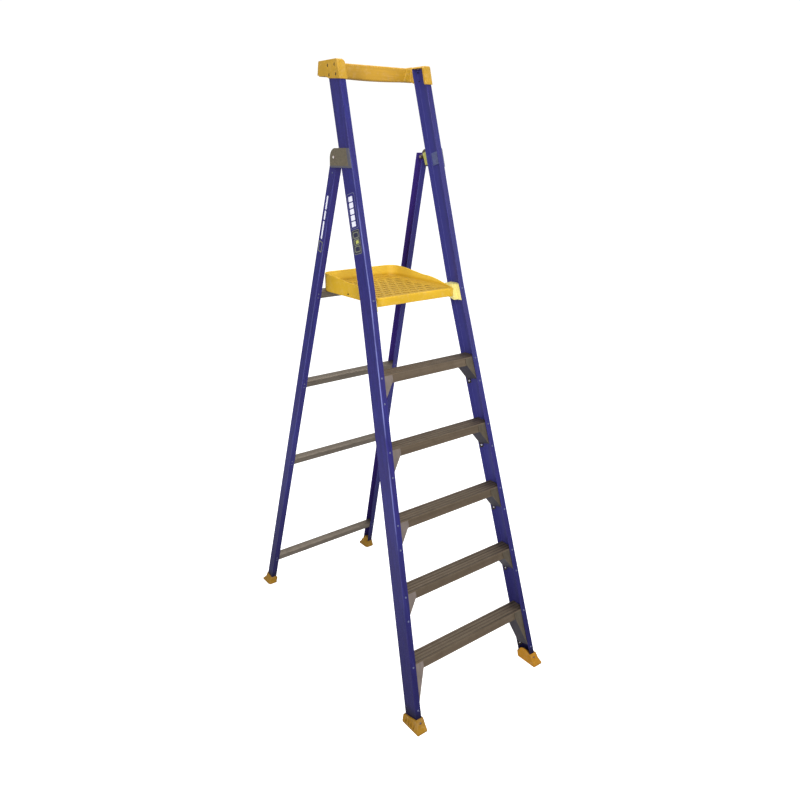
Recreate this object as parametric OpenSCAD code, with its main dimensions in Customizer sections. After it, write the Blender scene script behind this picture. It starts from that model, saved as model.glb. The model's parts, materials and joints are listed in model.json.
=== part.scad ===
// Fibreglass platform step ladder: five treads, a folding tray platform and a guard handrail.
// X is across the ladder, Y runs from the climbing side to the rear legs, Z is up.

/* [Front frame] */
// Height of one step
step_rise = 288; // [270:1:300]
// Height of the lowest tread's top face
first_step = 270; // [255:1:290]
// Lean of the front stiles from vertical, in degrees
front_lean = 14.9; // [14:0.1:15.5]
// Width over the front stiles at the floor
base_w = 708; // [700:1:720]
// Width over the front stiles where they bend, just above the platform
shoulder_w = 489; // [486:1:492]
// Width over the front stiles at the handrail
top_w = 443; // [440:1:446]
// Height of the bend in the stiles
bend_h = 1732; // [1728:1:1738]
// Overall height
total_h = 2594; // [2585:1:2610]

/* [Channel sections] */
// Depth of the front stile channel
stile_d = 76; // [76:0.5:78]
// Flange width of the front stile channel
stile_w = 27; // [26:0.5:28]
// Wall of the front stile channel
stile_t = 4; // [4:0.5:4.5]
// Depth of the rear rail channel
rail_d = 45; // [45:0.5:46]
// Flange width of the rear rail channel
rail_w = 28; // [27:0.5:28]
// Wall of the rear rail channel
rail_t = 3.5; // [3:0.5:4]

/* [Rear frame] */
// Distance from the front stiles to the rear rails at the floor
base_depth = 1332; // [1328:1:1336]
// Lean of the rear rails from vertical, in degrees
rear_lean = 15.85; // [15.6:0.05:16]
// Width over the rear rails at the floor
rear_base_w = 674; // [672:1:676]
// Sideways slope of a rear rail along its length
rear_splay = 0.0466; // [0.046:0.0002:0.047]
// Height of the hinge pins
hinge_h = 2241; // [2238:1:2244]
// Height of a rear cross bar along the rail
bar_h = 29; // [27:1:30]

/* [Platform] */
// Width of the platform tray
tray_w = 396; // [390:1:396]
// Depth of the platform tray
tray_d = 431; // [425:1:434]
// Setback of the tray's nose behind the front of the stiles
nose_back = 21; // [18:1:24]
// Height of the side rims above the deck
side_rim = 34; // [30:1:38]
// Height of the rear rim above the deck
rear_rim = 52; // [46:1:56]
// Depth of the side skirts below the deck
skirt = 26; // [24:1:28]
// Depth of the front lip below the deck
lip = 34; // [30:1:36]
// Wall of the tray
tray_t = 5; // [4:0.5:5]

/* [Treads] */
// Height of a tread's skirts
tread_h = 35; // [33:1:38]
// Wall of a tread
tread_t = 2.5; // [2:0.5:3]
// Sheet thickness of a knee brace
brace_t = 2.5; // [2:0.5:2.5]
// Reach of a knee brace beyond the stile flange
brace_reach = 43; // [38:1:48]
// Drop of a knee brace below its tread
brace_drop = 70; // [60:1:75]
// Drop of the lowest tread's knee brace
low_brace_drop = 150; // [130:1:155]

/* [Hidden] */
$fn = 48;

far = 4000;                             // longer than the ladder, for cutting blocks
gap = 0.3;                              // clearance between loose pieces
seat = 0.25;                            // lets a level rivet head clear a leaning web
hole_l = 12;                            // rivet hole, longer than any lap of thin walls
deep_hole_l = 20;                       // rivet hole through a moulding and the web in it
recess_l = 40;                          // cutter above a rivet head in a thick moulding
stile_floor = 8;                        // the stiles end this far above the floor
cap_t = 7;                              // and this far below the top of the handrail caps
tread_count = 5;
deck_h = first_step + tread_count * step_rise;
slope = tan(front_lean);                // rearward run of the stiles per unit of height
rear_slope = tan(rear_lean);

// Soles: where the feet end, front and rear, which centres the ladder on Y
toe_y = -21;
heel_y = 1400;
mid_y = (toe_y + heel_y) / 2;

// Front stile outer face: distance from the centre plane at a length s along the stile
bend_s = bend_h / cos(front_lean);
top_s = total_h / cos(front_lean);
low_splay = (base_w - shoulder_w) / 2 / bend_s;
up_splay = (shoulder_w - top_w) / 2 / (top_s - bend_s);
function stile_x(s) = s < bend_s
    ? base_w / 2 - s * low_splay
    : shoulder_w / 2 - (s - bend_s) * up_splay;
// Length along the stile of a point at height z, at depth v behind the front flange
function stile_s(z, v) = (z + v * sin(front_lean)) / cos(front_lean);

// Rear rail outer face, and the length along the rail of a point at height z and depth v
function rail_x(s) = rear_base_w / 2 - s * rear_splay;
function rail_s(z, v) = (z - v * sin(rear_lean)) / cos(rear_lean);

// ---------------------------------------------------------------- frames

// The ladder's own frame, centred between the toes and the heels
module centred() {
    translate([0, -mid_y, 0]) children();
}

// Frame of the front stiles: Y is square to the flanges, Z runs up the stile
module front_frame() {
    rotate([-front_lean, 0, 0]) children();
}

// Frame of the rear rails
module rear_frame() {
    translate([0, base_depth, 0]) rotate([rear_lean, 0, 0]) children();
}

// A plate standing in the X-Z plane between two depths
module slab(v0, v1, pts) {
    translate([0, v1, 0]) rotate([90, 0, 0]) linear_extrude(v1 - v0) polygon(pts);
}

// A plate standing in the Y-Z plane between two distances from the centre plane
module side_slab(x0, x1) {
    translate([x0, 0, 0]) rotate([90, 0, 90]) linear_extrude(x1 - x0) children();
}

// Everything between two heights
module band(z0, z1) {
    translate([-far / 2, -far / 2, z0]) cube([far, far, z1 - z0]);
}

// A rivet along +Y: domed head on the outside at y = 0, shank, and a set head inside
module rivet(grip, r = 2.5) {
    rotate([-90, 0, 0]) {
        translate([0, 0, -2]) cylinder(h = 2, r1 = r * 1.2, r2 = r * 2);
        cylinder(h = grip, r = r);
        translate([0, 0, grip]) cylinder(h = 1.2, r1 = r * 1.7, r2 = r * 1.3);
    }
}

// A rivet with a flat outer end, level with the plate it holds
module flush_rivet(grip, r = 2.5) {
    rotate([-90, 0, 0]) {
        cylinder(h = grip, r = r);
        translate([0, 0, grip]) cylinder(h = 1.2, r1 = r * 1.7, r2 = r * 1.3);
    }
}

// A rivet whose shank ends blind in a moulding
module short_rivet(grip, r = 2.5) {
    rotate([-90, 0, 0]) {
        translate([0, 0, -2]) cylinder(h = 2, r1 = r * 1.2, r2 = r * 2);
        cylinder(h = grip, r = r);
    }
}

// Round recess that leaves room for a rivet's head in a thick moulding
module head_recess(r) {
    translate([0, -recess_l, 0]) rotate([-90, 0, 0]) cylinder(h = recess_l, r = r);
}

module rivet_hole(l = hole_l, r = 2.5) {
    translate([0, -1, 0]) rotate([-90, 0, 0]) cylinder(h = l + 2, r = r);
}

// ---------------------------------------------------------------- front stiles

// Outline strip that follows the stile's outer edge, between two distances from it
function stile_strip(a, b, s0, s1) = [
    [stile_x(s0) - a, s0], [stile_x(s0) - b, s0],
    if (s0 < bend_s && s1 > bend_s) [stile_x(bend_s) - b, bend_s],
    [stile_x(s1) - b, s1], [stile_x(s1) - a, s1],
    if (s0 < bend_s && s1 > bend_s) [stile_x(bend_s) - a, bend_s]];

// The stile channel, cut level at both ends
module stile_channel() {
    intersection() {
        front_frame() difference() {
            slab(0, stile_d, stile_strip(0, stile_w, -100, top_s + 100));
            slab(stile_t, stile_d - stile_t, stile_strip(stile_t, stile_w + 1, -100, top_s + 100));
        }
        band(stile_floor, total_h - cap_t);
    }
}

// Rivet places on the right-hand stile, as [length along the stile, grip]
rivet_inset = 14;                       // from the stile's outer face
function tread_z(i) = first_step + (i - 1) * step_rise;
function brace_fall(i) = i == 1 ? low_brace_drop : brace_drop;
function tread_s(i) = stile_s(tread_z(i) - tread_h / 2, stile_d / 2);
function tip_s(i) = stile_s(tread_z(i) - tread_h - brace_fall(i), stile_d / 2);
tab_l = 22;                             // riveted tab at the foot of a brace
function tread_rivet_spots() = [for (i = [1:tread_count])
    each [[tread_s(i), stile_t + brace_t + tread_t], [tip_s(i) - tab_l / 2, stile_t + brace_t]]];

// Places a child at every tread rivet, once on the front flange and once on the rear
module at_tread_rivets(spots) {
    front_frame() for (p = spots) {
        translate([stile_x(p[0]) - rivet_inset, 0, p[0]]) children();
        translate([stile_x(p[0]) - rivet_inset, stile_d, p[0]]) mirror([0, 1, 0]) children();
    }
}

bracket_rivet_s = stile_s(deck_h - 10, stile_d / 2);
foot_rivet_s = 34;
hinge_rivet_vs = [30, 54];

module front_stile() {
    color("#3c387d") centred() difference() {
        stile_channel();
        at_tread_rivets(tread_rivet_spots()) rivet_hole();
        at_tread_rivets([[bracket_rivet_s, 0], [foot_rivet_s, 0]]) rivet_hole();
        hinge_rivet_places() rivet_hole();
        cap_rivet_places() rivet_hole();
    }
}

// ---------------------------------------------------------------- treads and knee braces

inner_front = stile_t / cos(front_lean);
inner_rear = (stile_d - stile_t) / cos(front_lean);
lap = brace_t / cos(front_lean);
wall = tread_t / cos(front_lean);
rib_pitch = 6;
rib_deep = 1;

// A point of the tread's section, at u behind the flange plane and height z
function sec(u, z) = [z * slope + u, z];

// Ribbed top of the tread from back to front
function tread_ribs(z) = [for (u = [inner_rear - 5 : -rib_pitch : inner_front + 8])
    each [sec(u, z), sec(u - 0.8, z - rib_deep), sec(u - 2.2, z - rib_deep), sec(u - 3, z)]];

function tread_section(z) = concat(
    [sec(inner_front, z - 3.5), sec(inner_front + lap, z - 3.5),
     sec(inner_front + lap, z - tread_h), sec(inner_front + lap + wall, z - tread_h),
     sec(inner_front + lap + wall, z - 3.5), sec(inner_rear - lap - wall, z - 3.5),
     sec(inner_rear - lap - wall, z - tread_h), sec(inner_rear - lap, z - tread_h),
     sec(inner_rear - lap, z - 3.5), sec(inner_rear, z - 3.5), sec(inner_rear, z)],
    tread_ribs(z), [sec(inner_front + 1.5, z), sec(inner_front, z - 1.5)]);

module tread(i) {
    z = tread_z(i);
    end_x = stile_x(stile_s(z, stile_d)) - stile_t - gap;
    color("#84776a") centred() difference() {
        side_slab(-end_x, end_x) polygon(tread_section(z));
        at_tread_rivets([[tread_s(i), 0]]) rivet_hole();
        mirror([1, 0, 0]) at_tread_rivets([[tread_s(i), 0]]) rivet_hole();
    }
}

// Outline of a knee brace's front and rear plates
function brace_outline(i, s_bot, s_tip, s_top) = [
    [stile_x(s_tip - tab_l) - stile_t - gap, s_tip - tab_l],
    [stile_x(s_top) - stile_t - gap, s_top],
    [stile_x(s_bot) - stile_w - brace_reach, s_top],
    [stile_x(s_bot) - stile_w - brace_reach, s_bot],
    [stile_x(s_tip) - stile_w + 3, s_tip],
    [stile_x(s_tip - tab_l) - stile_w + 3, s_tip - tab_l]];

// Folded sheet: two plates against the flanges, joined by a sloping web below the tread
module knee_brace(i) {
    z = tread_z(i);
    s_bot = stile_s(z - tread_h, stile_d / 2);
    s_tip = tip_s(i);
    s_top = stile_s(z, stile_d) + 20;
    pts = brace_outline(i, s_bot, s_tip, s_top);
    dir = pts[4] - pts[3];
    nrm = [-dir[1], dir[0]] / norm(dir) * brace_t;
    mitre = nrm[1] + (brace_t - nrm[0]) * dir[1] / dir[0];
    web = [pts[2], pts[3], pts[4], pts[4] + nrm, pts[3] + [brace_t, mitre], pts[2] + [brace_t, 0]];
    color("#7d735f") centred() difference() {
        union() {
            intersection() {
                front_frame() {
                    slab(stile_t, stile_t + brace_t, pts);
                    slab(stile_d - stile_t - brace_t, stile_d - stile_t, pts);
                }
                band(0, z - 3.5);
            }
            intersection() {
                front_frame() slab(stile_t, stile_d - stile_t, web);
                band(0, z - tread_h - gap);
            }
        }
        at_tread_rivets([[tread_s(i), 0], [tip_s(i) - tab_l / 2, 0]]) rivet_hole();
    }
}

module tread_rivets() {
    color("#b9b6ae") centred() front_frame() for (p = tread_rivet_spots()) {
        translate([stile_x(p[0]) - rivet_inset, 0, p[0]]) rivet(p[1]);
        translate([stile_x(p[0]) - rivet_inset, stile_d, p[0]]) mirror([0, 1, 0]) rivet(p[1]);
    }
}

// ---------------------------------------------------------------- handrail

cap_wall = 4;
cap_rear_y = 819;
cap_low = total_h - 72;                 // lowest edge of the cap, at its front
rail_z0 = total_h - 56;                 // handrail bar, bottom and top
rail_z1 = total_h - 4;
bar_y0 = 771;
bar_y1 = 815;
bar_end_x = 178;
grip_wall = 4;
bar_bow = 5;
spigot_l = 30;
cap_rivet_gap = [20, 68];               // depths of the two rivet rows
cap_open = stile_d - stile_t / 2;       // the cap is open inside, back to this depth
cap_bevel = 9;                          // bevel along the cap's inner top edge
cap_rivet_zs = [total_h - 20, total_h - 54];

function cap_profile() = [
    [cap_low * slope - cap_wall, cap_low], [(total_h - 4) * slope - cap_wall, total_h - 4],
    [total_h * slope, total_h], [cap_rear_y - 3, total_h], [cap_rear_y, total_h - 3],
    [cap_rear_y + 9, total_h - 51], [cap_rear_y - 50, total_h - 57],
    [cap_rear_y - 72, total_h - 66]];

// Rivets through the cap's outer wall and the stile's web, axis along X
module cap_rivet_places() {
    for (v = cap_rivet_gap, z = cap_rivet_zs)
        translate([cap_out_x, z * slope + v, z]) rotate([0, 0, 90]) children();
}

cap_out_x = top_w / 2 + 6;
cap_in_x = stile_x(top_s) - stile_w - cap_wall;
cap_wrap = 8;                           // how far the cap wraps round the front flange

module handrail_cap() {
    color("#d2a02d") centred() difference() {
        union() {
            side_slab(cap_in_x, cap_out_x) polygon(cap_profile());
            translate([bar_end_x, bar_y0 - 2, rail_z0])
                cube([cap_out_x - bar_end_x, bar_y1 - bar_y0 + 3, rail_z1 - rail_z0]);
            translate([bar_end_x - spigot_l, bar_y0 + grip_wall, rail_z0 + grip_wall])
                cube([spigot_l + 1, bar_y1 - bar_y0 - 2 * grip_wall, rail_z1 - rail_z0 - 2 * grip_wall]);
        }
        stile_channel();
        intersection() {
            front_frame() slab(cap_wrap, cap_open,
                stile_strip(stile_t, stile_w + 60, top_s - 200, top_s + 60));
            band(0, total_h - cap_t);
        }
        slab(0, bar_y0 - 3, [[cap_in_x - 1, total_h - cap_bevel - 1],
            [cap_in_x + cap_bevel + 1, total_h + 1], [cap_in_x - 1, total_h + 1]]);
        cap_rivet_places() rivet_hole(deep_hole_l);
    }
}

module handrail_rivets() {
    color("#6b5a2a") centred() for (side = [0, 1]) mirror([side, 0, 0])
        cap_rivet_places() short_rivet(12.5);
}

// Hollow bar whose underside bows down a little at mid span
module handrail_bar() {
    n = 12;
    low = [for (k = [0:n]) let (x = bar_end_x * (1 - 2 * k / n))
        [x, rail_z0 - bar_bow * (1 - pow(x / bar_end_x, 2))]];
    color("#d2a02d") centred() difference() {
        slab(bar_y0, bar_y1, concat(low, [[-bar_end_x, rail_z1], [bar_end_x, rail_z1]]));
        translate([-bar_end_x - 1, bar_y0 + grip_wall, rail_z0 + grip_wall])
            cube([2 * bar_end_x + 2, bar_y1 - bar_y0 - 2 * grip_wall,
                rail_z1 - rail_z0 - 2 * grip_wall]);
    }
}

// ---------------------------------------------------------------- hinges

hinge_y = base_depth - hinge_h * rear_slope + 17;
plate_t = 4;
plate_z0 = hinge_h - 39;
plate_z1 = hinge_h + 34;
plate_rear = hinge_y + 31;
plate_r = 38;                           // rounding of the plate's upper rear corner
plate_low_r = 12;                       // and of the lower one
plate_back = 2;                         // the plate's front edge sits this far behind the flange
pin_r = 5;
pin_clear = 0.06;
backing_t = 3;
sleeve_r = 8;
hinge_x = rail_x(rail_s(hinge_h, 17));  // rail's outer face at the pin

// Outline of the hinge plate: front edge along the stile, rear edge upright, rounded corners
module plate_outline() {
    difference() {
        polygon([[plate_z0 * slope + plate_back, plate_z0], [plate_rear, plate_z0],
            [plate_rear, plate_z1], [plate_z1 * slope + plate_back, plate_z1]]);
        difference() {
            translate([plate_rear - plate_r, plate_z1 - plate_r]) square(plate_r + 1);
            translate([plate_rear - plate_r, plate_z1 - plate_r]) circle(r = plate_r);
        }
        difference() {
            translate([plate_rear - plate_low_r, plate_z0 - 1]) square(plate_low_r + 1);
            translate([plate_rear - plate_low_r, plate_z0 + plate_low_r]) circle(r = plate_low_r);
        }
    }
}

// Rivets through the hinge plate, the stile's web and the backing plate, axis along X
module hinge_rivet_places() {
    mid_s = stile_s(hinge_h - 5, stile_d / 2);
    front_frame() for (v = hinge_rivet_vs, s = [mid_s - 14, mid_s + 14])
        translate([stile_x(s) + plate_t, v, s]) rotate([0, 0, 90]) children();
}

module hinge_plate() {
    color("#6e6455") centred() difference() {
        intersection() {
            side_slab(0, base_w) plate_outline();
            front_frame() slab(-60, 200, stile_strip(-plate_t, 0, bend_s + 1, top_s));
        }
        hinge_rivet_places() rivet_hole();
        translate([0, hinge_y, hinge_h]) rotate([0, 90, 0]) cylinder(h = base_w, r = pin_r);
    }
}

module hinge_backing_plate() {
    s0 = stile_s(hinge_h - 30, stile_d / 2);
    s1 = stile_s(hinge_h + 20, stile_d / 2);
    color("#7c8298") centred() difference() {
        front_frame() slab(20, 64, stile_strip(stile_t, stile_t + backing_t, s0, s1));
        hinge_rivet_places() rivet_hole(deep_hole_l);
    }
}

// Their outer ends are flush with the plate
module hinge_rivets() {
    color("#8c8478") centred() for (side = [0, 1]) mirror([side, 0, 0])
        hinge_rivet_places() flush_rivet(plate_t + stile_t + backing_t + seat);
}

// Moulded block on the stile's rear flange, inside the rear rail's open top
module hinge_spacer() {
    s0 = stile_s(hinge_h - 31, stile_d);
    s1 = stile_s(hinge_h + 20, stile_d);
    x_in = stile_x(s1) - stile_w;
    color("#b7b04e") centred() front_frame() difference() {
        translate([x_in, stile_d, s0]) cube([hinge_x - rail_t - 1.2 - x_in, 20, s1 - s0]);
        translate([x_in - 1, stile_d + 13, s0]) rotate([-8, 0, 0])
            translate([0, 0, -5]) cube([40, 30, s1 - s0 + 30]);
    }
}

// Pin along X with a domed head outside; the rear rail turns on it
module hinge_pin() {
    head_x = stile_x(stile_s(hinge_h, stile_d)) + plate_t;
    seat_x = head_x + head_gap;
    color("#c9c4ba") centred() translate([0, hinge_y, hinge_h]) rotate([0, 90, 0]) {
        translate([0, 0, nut_x0 - pin_end]) cylinder(h = seat_x - nut_x0 + pin_end, r = pin_r);
        translate([0, 0, seat_x]) cylinder(h = pin_head_h, r1 = pin_r * 1.4, r2 = pin_r * 0.9);
    }
}

nut_x0 = hinge_x - rail_t - 24;
nut_t = 7;
nut_r = 9;                              // from the axis to a corner of the nut
pin_end = 3;                            // thread standing out of the nut
pin_head_h = 3;
head_gap = 0.6;                         // between the pin's head and the plate it passes

module hinge_sleeve() {
    color("#9a958b") centred() translate([nut_x0 + nut_t, hinge_y, hinge_h]) rotate([0, 90, 0])
        difference() {
            cylinder(h = hinge_x - rail_t - 1 - nut_x0 - nut_t, r = sleeve_r);
            translate([0, 0, -1]) cylinder(h = 40, r = pin_r);
        }
}

module hinge_nut() {
    color("#a9a49a") centred() translate([nut_x0, hinge_y, hinge_h]) rotate([0, 90, 0])
        difference() {
            cylinder(h = nut_t, r = nut_r, $fn = 6);
            translate([0, 0, -1]) cylinder(h = nut_t + 2, r = pin_r);
        }
}

// ---------------------------------------------------------------- platform

nose_y = deck_h * slope + nose_back;    // front face of the tray
tray_rear = nose_y + tray_d;
deck_t = 6;
corner_r = 35;
pivot_z = deck_h - 17;
pivot_y = pivot_z * slope + stile_d / 2 / cos(front_lean);
bracket_in = tray_w / 2 + 2;
bracket_back = 27;                      // bare part of the bracket, behind the flange plane
bracket_z0 = deck_h - 50;
bracket_z1 = deck_h + 16;
bracket_lift = 18;                      // rise of the bracket's underside to the rear

// Plan of the tray with two rounded rear corners, shrunk by an inset
module tray_plan(inset) {
    r = corner_r - inset;
    w = tray_w - 2 * inset;
    y0 = nose_y + inset;
    y1 = tray_rear - inset;
    translate([-w / 2, y0]) square([w, y1 - y0 - r]);
    translate([-w / 2 + r, y0]) square([w - 2 * r, y1 - y0]);
    for (x = [-w / 2 + r, w / 2 - r]) translate([x, y1 - r]) circle(r = r);
}

// Side view of the tray: the rim rises from the nose, runs level, then lifts to the rear
rim_run = 160;                          // length over which the rim rises behind the nose
lift_run = 170;                         // length over which the rim lifts to the rear
lip_run = 60;                           // length over which the side skirts meet the front lip
function rim_front(t) = side_rim * sin(90 * t);
function rim_back(t) = side_rim + (rear_rim - side_rim) * (1 - cos(90 * t));
bar_front = base_depth - (deck_h - skirt) * rear_slope + rail_t / cos(rear_lean);
skirt_step = 11;                        // the skirts rise by this much over the rear bar
step_run = 38;                          // length of that rise
module tray_side() {
    n = 12;
    polygon(concat(
        [[nose_y, deck_h - lip]],
        [for (k = [0:n]) [nose_y + rim_run * k / n, deck_h + rim_front(k / n)]],
        [for (k = [0:n]) [tray_rear - lift_run * (1 - k / n), deck_h + rim_back(k / n)]],
        [[tray_rear, deck_h - skirt + skirt_step],
         [bar_front + step_run, deck_h - skirt + skirt_step],
         [bar_front - 1, deck_h - skirt], [nose_y + lip_run, deck_h - skirt],
         [nose_y + 2 * tray_t, deck_h - lip]]));
}

tray_rib_xs = [-105, -35, 35, 105];     // stiffening ribs under the deck
tray_rib_w = 3;
tray_rib_h = 14;

module platform_tray() {
    color("#f0be28") centred() difference() {
        intersection() {
            translate([0, 0, deck_h - lip]) linear_extrude(lip + rear_rim) tray_plan(0);
            side_slab(-tray_w, tray_w) tray_side();
        }
        translate([0, 0, deck_h]) linear_extrude(rear_rim + 1) {
            tray_plan(tray_t);
            translate([tray_t - tray_w / 2, nose_y - 1]) square([tray_w - 2 * tray_t, corner_r]);
        }
        difference() {
            translate([0, 0, deck_h - lip - 1]) linear_extrude(lip + 1 - deck_t)
                tray_plan(tray_t);
            for (x = tray_rib_xs) translate([x - tray_rib_w / 2, nose_y, deck_h - tray_rib_h])
                cube([tray_rib_w, tray_d, tray_rib_h]);
        }
        translate([-tray_w, pivot_y, pivot_z]) rotate([0, 90, 0])
            cylinder(h = 2 * tray_w, r = pin_r + pin_clear);
    }
}

// Moulded block held in the stile channel, which carries the tray's pivot pin
module platform_bracket() {
    s0 = stile_s(bracket_z0, 0);
    rear = stile_d - stile_t;
    low_y = bracket_z0 * slope + bracket_back / cos(front_lean);
    color("#f2d25a") centred() difference() {
        intersection() {
            front_frame() union() {
                slab(stile_t, rear, stile_strip(stile_t, stile_w, s0, top_s));
                slab(bracket_back, rear, [[bracket_in, s0], [stile_x(s0) - stile_t - gap, s0],
                    [stile_x(bend_s) - stile_t - gap, bend_s],
                    [stile_x(top_s) - stile_t - gap, top_s], [bracket_in, top_s]]);
            }
            band(bracket_z0, bracket_z1);
        }
        side_slab(0, base_w) polygon([[low_y, bracket_z0 - 1], [low_y + 2 * stile_d, bracket_z0 - 1],
            [low_y + 2 * stile_d, bracket_z0 + 2 * bracket_lift], [low_y, bracket_z0]]);
        translate([0, pivot_y, pivot_z]) rotate([0, 90, 0]) cylinder(h = base_w, r = pin_r);
        at_tread_rivets([[bracket_rivet_s, 0]]) rivet_hole();
    }
}

pivot_l = 45;                           // shank of the platform pin, from the tray into the bracket

module platform_pin() {
    head_x = tray_w / 2 - tray_t - head_gap;
    color("#b9b6ae") centred() translate([0, pivot_y, pivot_z]) rotate([0, 90, 0]) {
        translate([0, 0, head_x]) cylinder(h = pivot_l, r = pin_r);
        translate([0, 0, head_x - pin_head_h]) cylinder(h = pin_head_h, r = pin_r * 1.5);
    }
}

module platform_bracket_rivets() {
    color("#b9b6ae") centred() for (side = [0, 1]) mirror([side, 0, 0])
        at_tread_rivets([[bracket_rivet_s, 0]]) short_rivet(stile_t + 9);
}

// ---------------------------------------------------------------- front feet

boot_h = 52;
boot_wall = 5;
plug_h = 50;                            // height of the foot's plug inside the channel

module front_foot() {
    rear0 = stile_d / cos(front_lean) + boot_wall;
    out = base_w / 2;
    color("#aa8232") centred() difference() {
        union() {
            intersection() {
                side_slab(out - 36, out + 15) polygon([[toe_y, 0], [toe_y, 9], [toe_y + 14, 26],
                    sec(-boot_wall, boot_h), sec(rear0, boot_h - 22), sec(rear0, 0)]);
                slab(-far / 2, far / 2, [[out - 35, 0], [out + 15, 0], [out + 15, 9],
                    [out + 6, 30], [out + 3, boot_h + 5], [out - 35, boot_h + 5]]);
            }
            intersection() {
                front_frame() slab(stile_t, stile_d - stile_t,
                    stile_strip(stile_t, stile_w - 2, -40, plug_h));
                band(stile_floor, plug_h);
            }
        }
        stile_channel();
        for (k = [0:3]) translate([out + 5, 10 + k * 17, 12]) rotate([-front_lean, 0, 0])
            cube([12, 9, 30]);
        at_tread_rivets([[foot_rivet_s, 0]]) translate([0, -boot_wall, 0]) {
            rivet_hole(deep_hole_l);
            head_recess(5.4);
        }
    }
}

module front_foot_rivets() {
    color("#8c8478") centred() for (side = [0, 1]) mirror([side, 0, 0])
        at_tread_rivets([[foot_rivet_s, 0]]) translate([0, -boot_wall, 0])
            short_rivet(boot_wall + stile_t + 7);
}

// ---------------------------------------------------------------- rear frame

rail_floor = 6;
rail_top = hinge_h + 17;
notch_h = hinge_h - 14;                 // the front flange stops here, clear of the spacer
bar_inset = 14;                         // rivets from the rail's outer face
bar_bases = [162, 813, 1264, 1720];     // lower edge of each bar, measured up the rail
bar_wall = 2;
rear_foot_rivet_s = 30;

function rail_strip(a, b, s0, s1) = [
    [rail_x(s0) - a, s0], [rail_x(s0) - b, s0], [rail_x(s1) - b, s1], [rail_x(s1) - a, s1]];

module rail_channel() {
    long_s = 2400;
    difference() {
        intersection() {
            rear_frame() difference() {
                slab(0, rail_d, rail_strip(0, rail_w, -60, long_s));
                slab(rail_t, rail_d - rail_t, rail_strip(rail_t, rail_w + 1, -60, long_s));
            }
            band(rail_floor, rail_top);
        }
        intersection() {
            rear_frame() slab(-1, rail_t + 1, rail_strip(rail_t, rail_w + 1, 0, long_s));
            band(notch_h, rail_top + 30);
        }
    }
}

module at_bar_rivets(spots) {
    rear_frame() for (s = spots) {
        translate([rail_x(s) - bar_inset, 0, s]) children();
        translate([rail_x(s) - bar_inset, rail_d, s]) mirror([0, 1, 0]) children();
    }
}

function bar_rivet_spots() = [for (s = bar_bases) each [s + bar_h * 0.2, s + bar_h * 0.8]];

module rear_rail() {
    color("#3a3678") centred() difference() {
        rail_channel();
        at_bar_rivets(bar_rivet_spots()) rivet_hole(r = 2);
        at_bar_rivets([rear_foot_rivet_s]) rivet_hole(r = 2);
        at_web_rivet() rivet_hole();
        translate([0, hinge_y, hinge_h]) rotate([0, 90, 0])
            cylinder(h = base_w, r = pin_r + pin_clear);
    }
}

// Channel-section cross bar, open underneath, between the rail flanges
module rear_bar(k) {
    s = bar_bases[k];
    end_x = rail_x(s + bar_h) - rail_t - gap;
    w = bar_wall;
    v0 = rail_t;
    v1 = rail_d - rail_t;
    color("#7d7568") centred() difference() {
        rear_frame() side_slab(-end_x, end_x) polygon([[v0, s], [v0, s + bar_h], [v1, s + bar_h],
            [v1, s], [v1 - w, s], [v1 - w, s + bar_h - w], [v0 + w, s + bar_h - w], [v0 + w, s]]);
        for (side = [0, 1]) mirror([side, 0, 0])
            at_bar_rivets([s + bar_h * 0.2, s + bar_h * 0.8]) rivet_hole(r = 2);
    }
}

// Rivet through the rail's web a little below the hinge
module at_web_rivet() {
    s = rail_s(hinge_h - 59, 18);
    rear_frame() translate([rail_x(s) + seat, 18, s]) rotate([0, 0, 90]) children();
}

module rear_rivets() {
    color("#b9b6ae") centred() {
        at_bar_rivets(bar_rivet_spots()) rivet(rail_t + bar_wall, 2);
        at_web_rivet() rivet(rail_t + 2 * seat);
    }
}

module rear_foot() {
    rear0 = rail_d / cos(rear_lean) + 4;
    front_y = base_depth - 4;
    out = rear_base_w / 2;
    color("#aa8232") centred() difference() {
        union() {
            intersection() {
                side_slab(out - 38, out + 13) polygon([[front_y + 6, 0], [heel_y, 0],
                    [heel_y, 8], [base_depth + rear0 - 4, 28],
                    [base_depth + rear0 - 44 * rear_slope, 44],
                    [front_y - 31 * rear_slope, 31]]);
                slab(0, far / 2, [[out - 37, 0], [out + 13, 0], [out + 13, 8],
                    [out + 5, 26], [out + 2, 50], [out - 37, 50]]);
            }
            intersection() {
                rear_frame() slab(rail_t, rail_d - rail_t,
                    rail_strip(rail_t, rail_w - 2, -40, 80));
                band(rail_floor, 64);
            }
        }
        rail_channel();
        at_bar_rivets([rear_foot_rivet_s]) {
            rivet_hole(deep_hole_l, 2);
            head_recess(4.4);
        }
    }
}

module rear_foot_rivets() {
    color("#8c8478") centred() for (side = [0, 1]) mirror([side, 0, 0])
        at_bar_rivets([rear_foot_rivet_s]) short_rivet(rail_t + 7, 2);
}

// ---------------------------------------------------------------- nodes

module flip() {
    mirror([1, 0, 0]) children();
}

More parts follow.
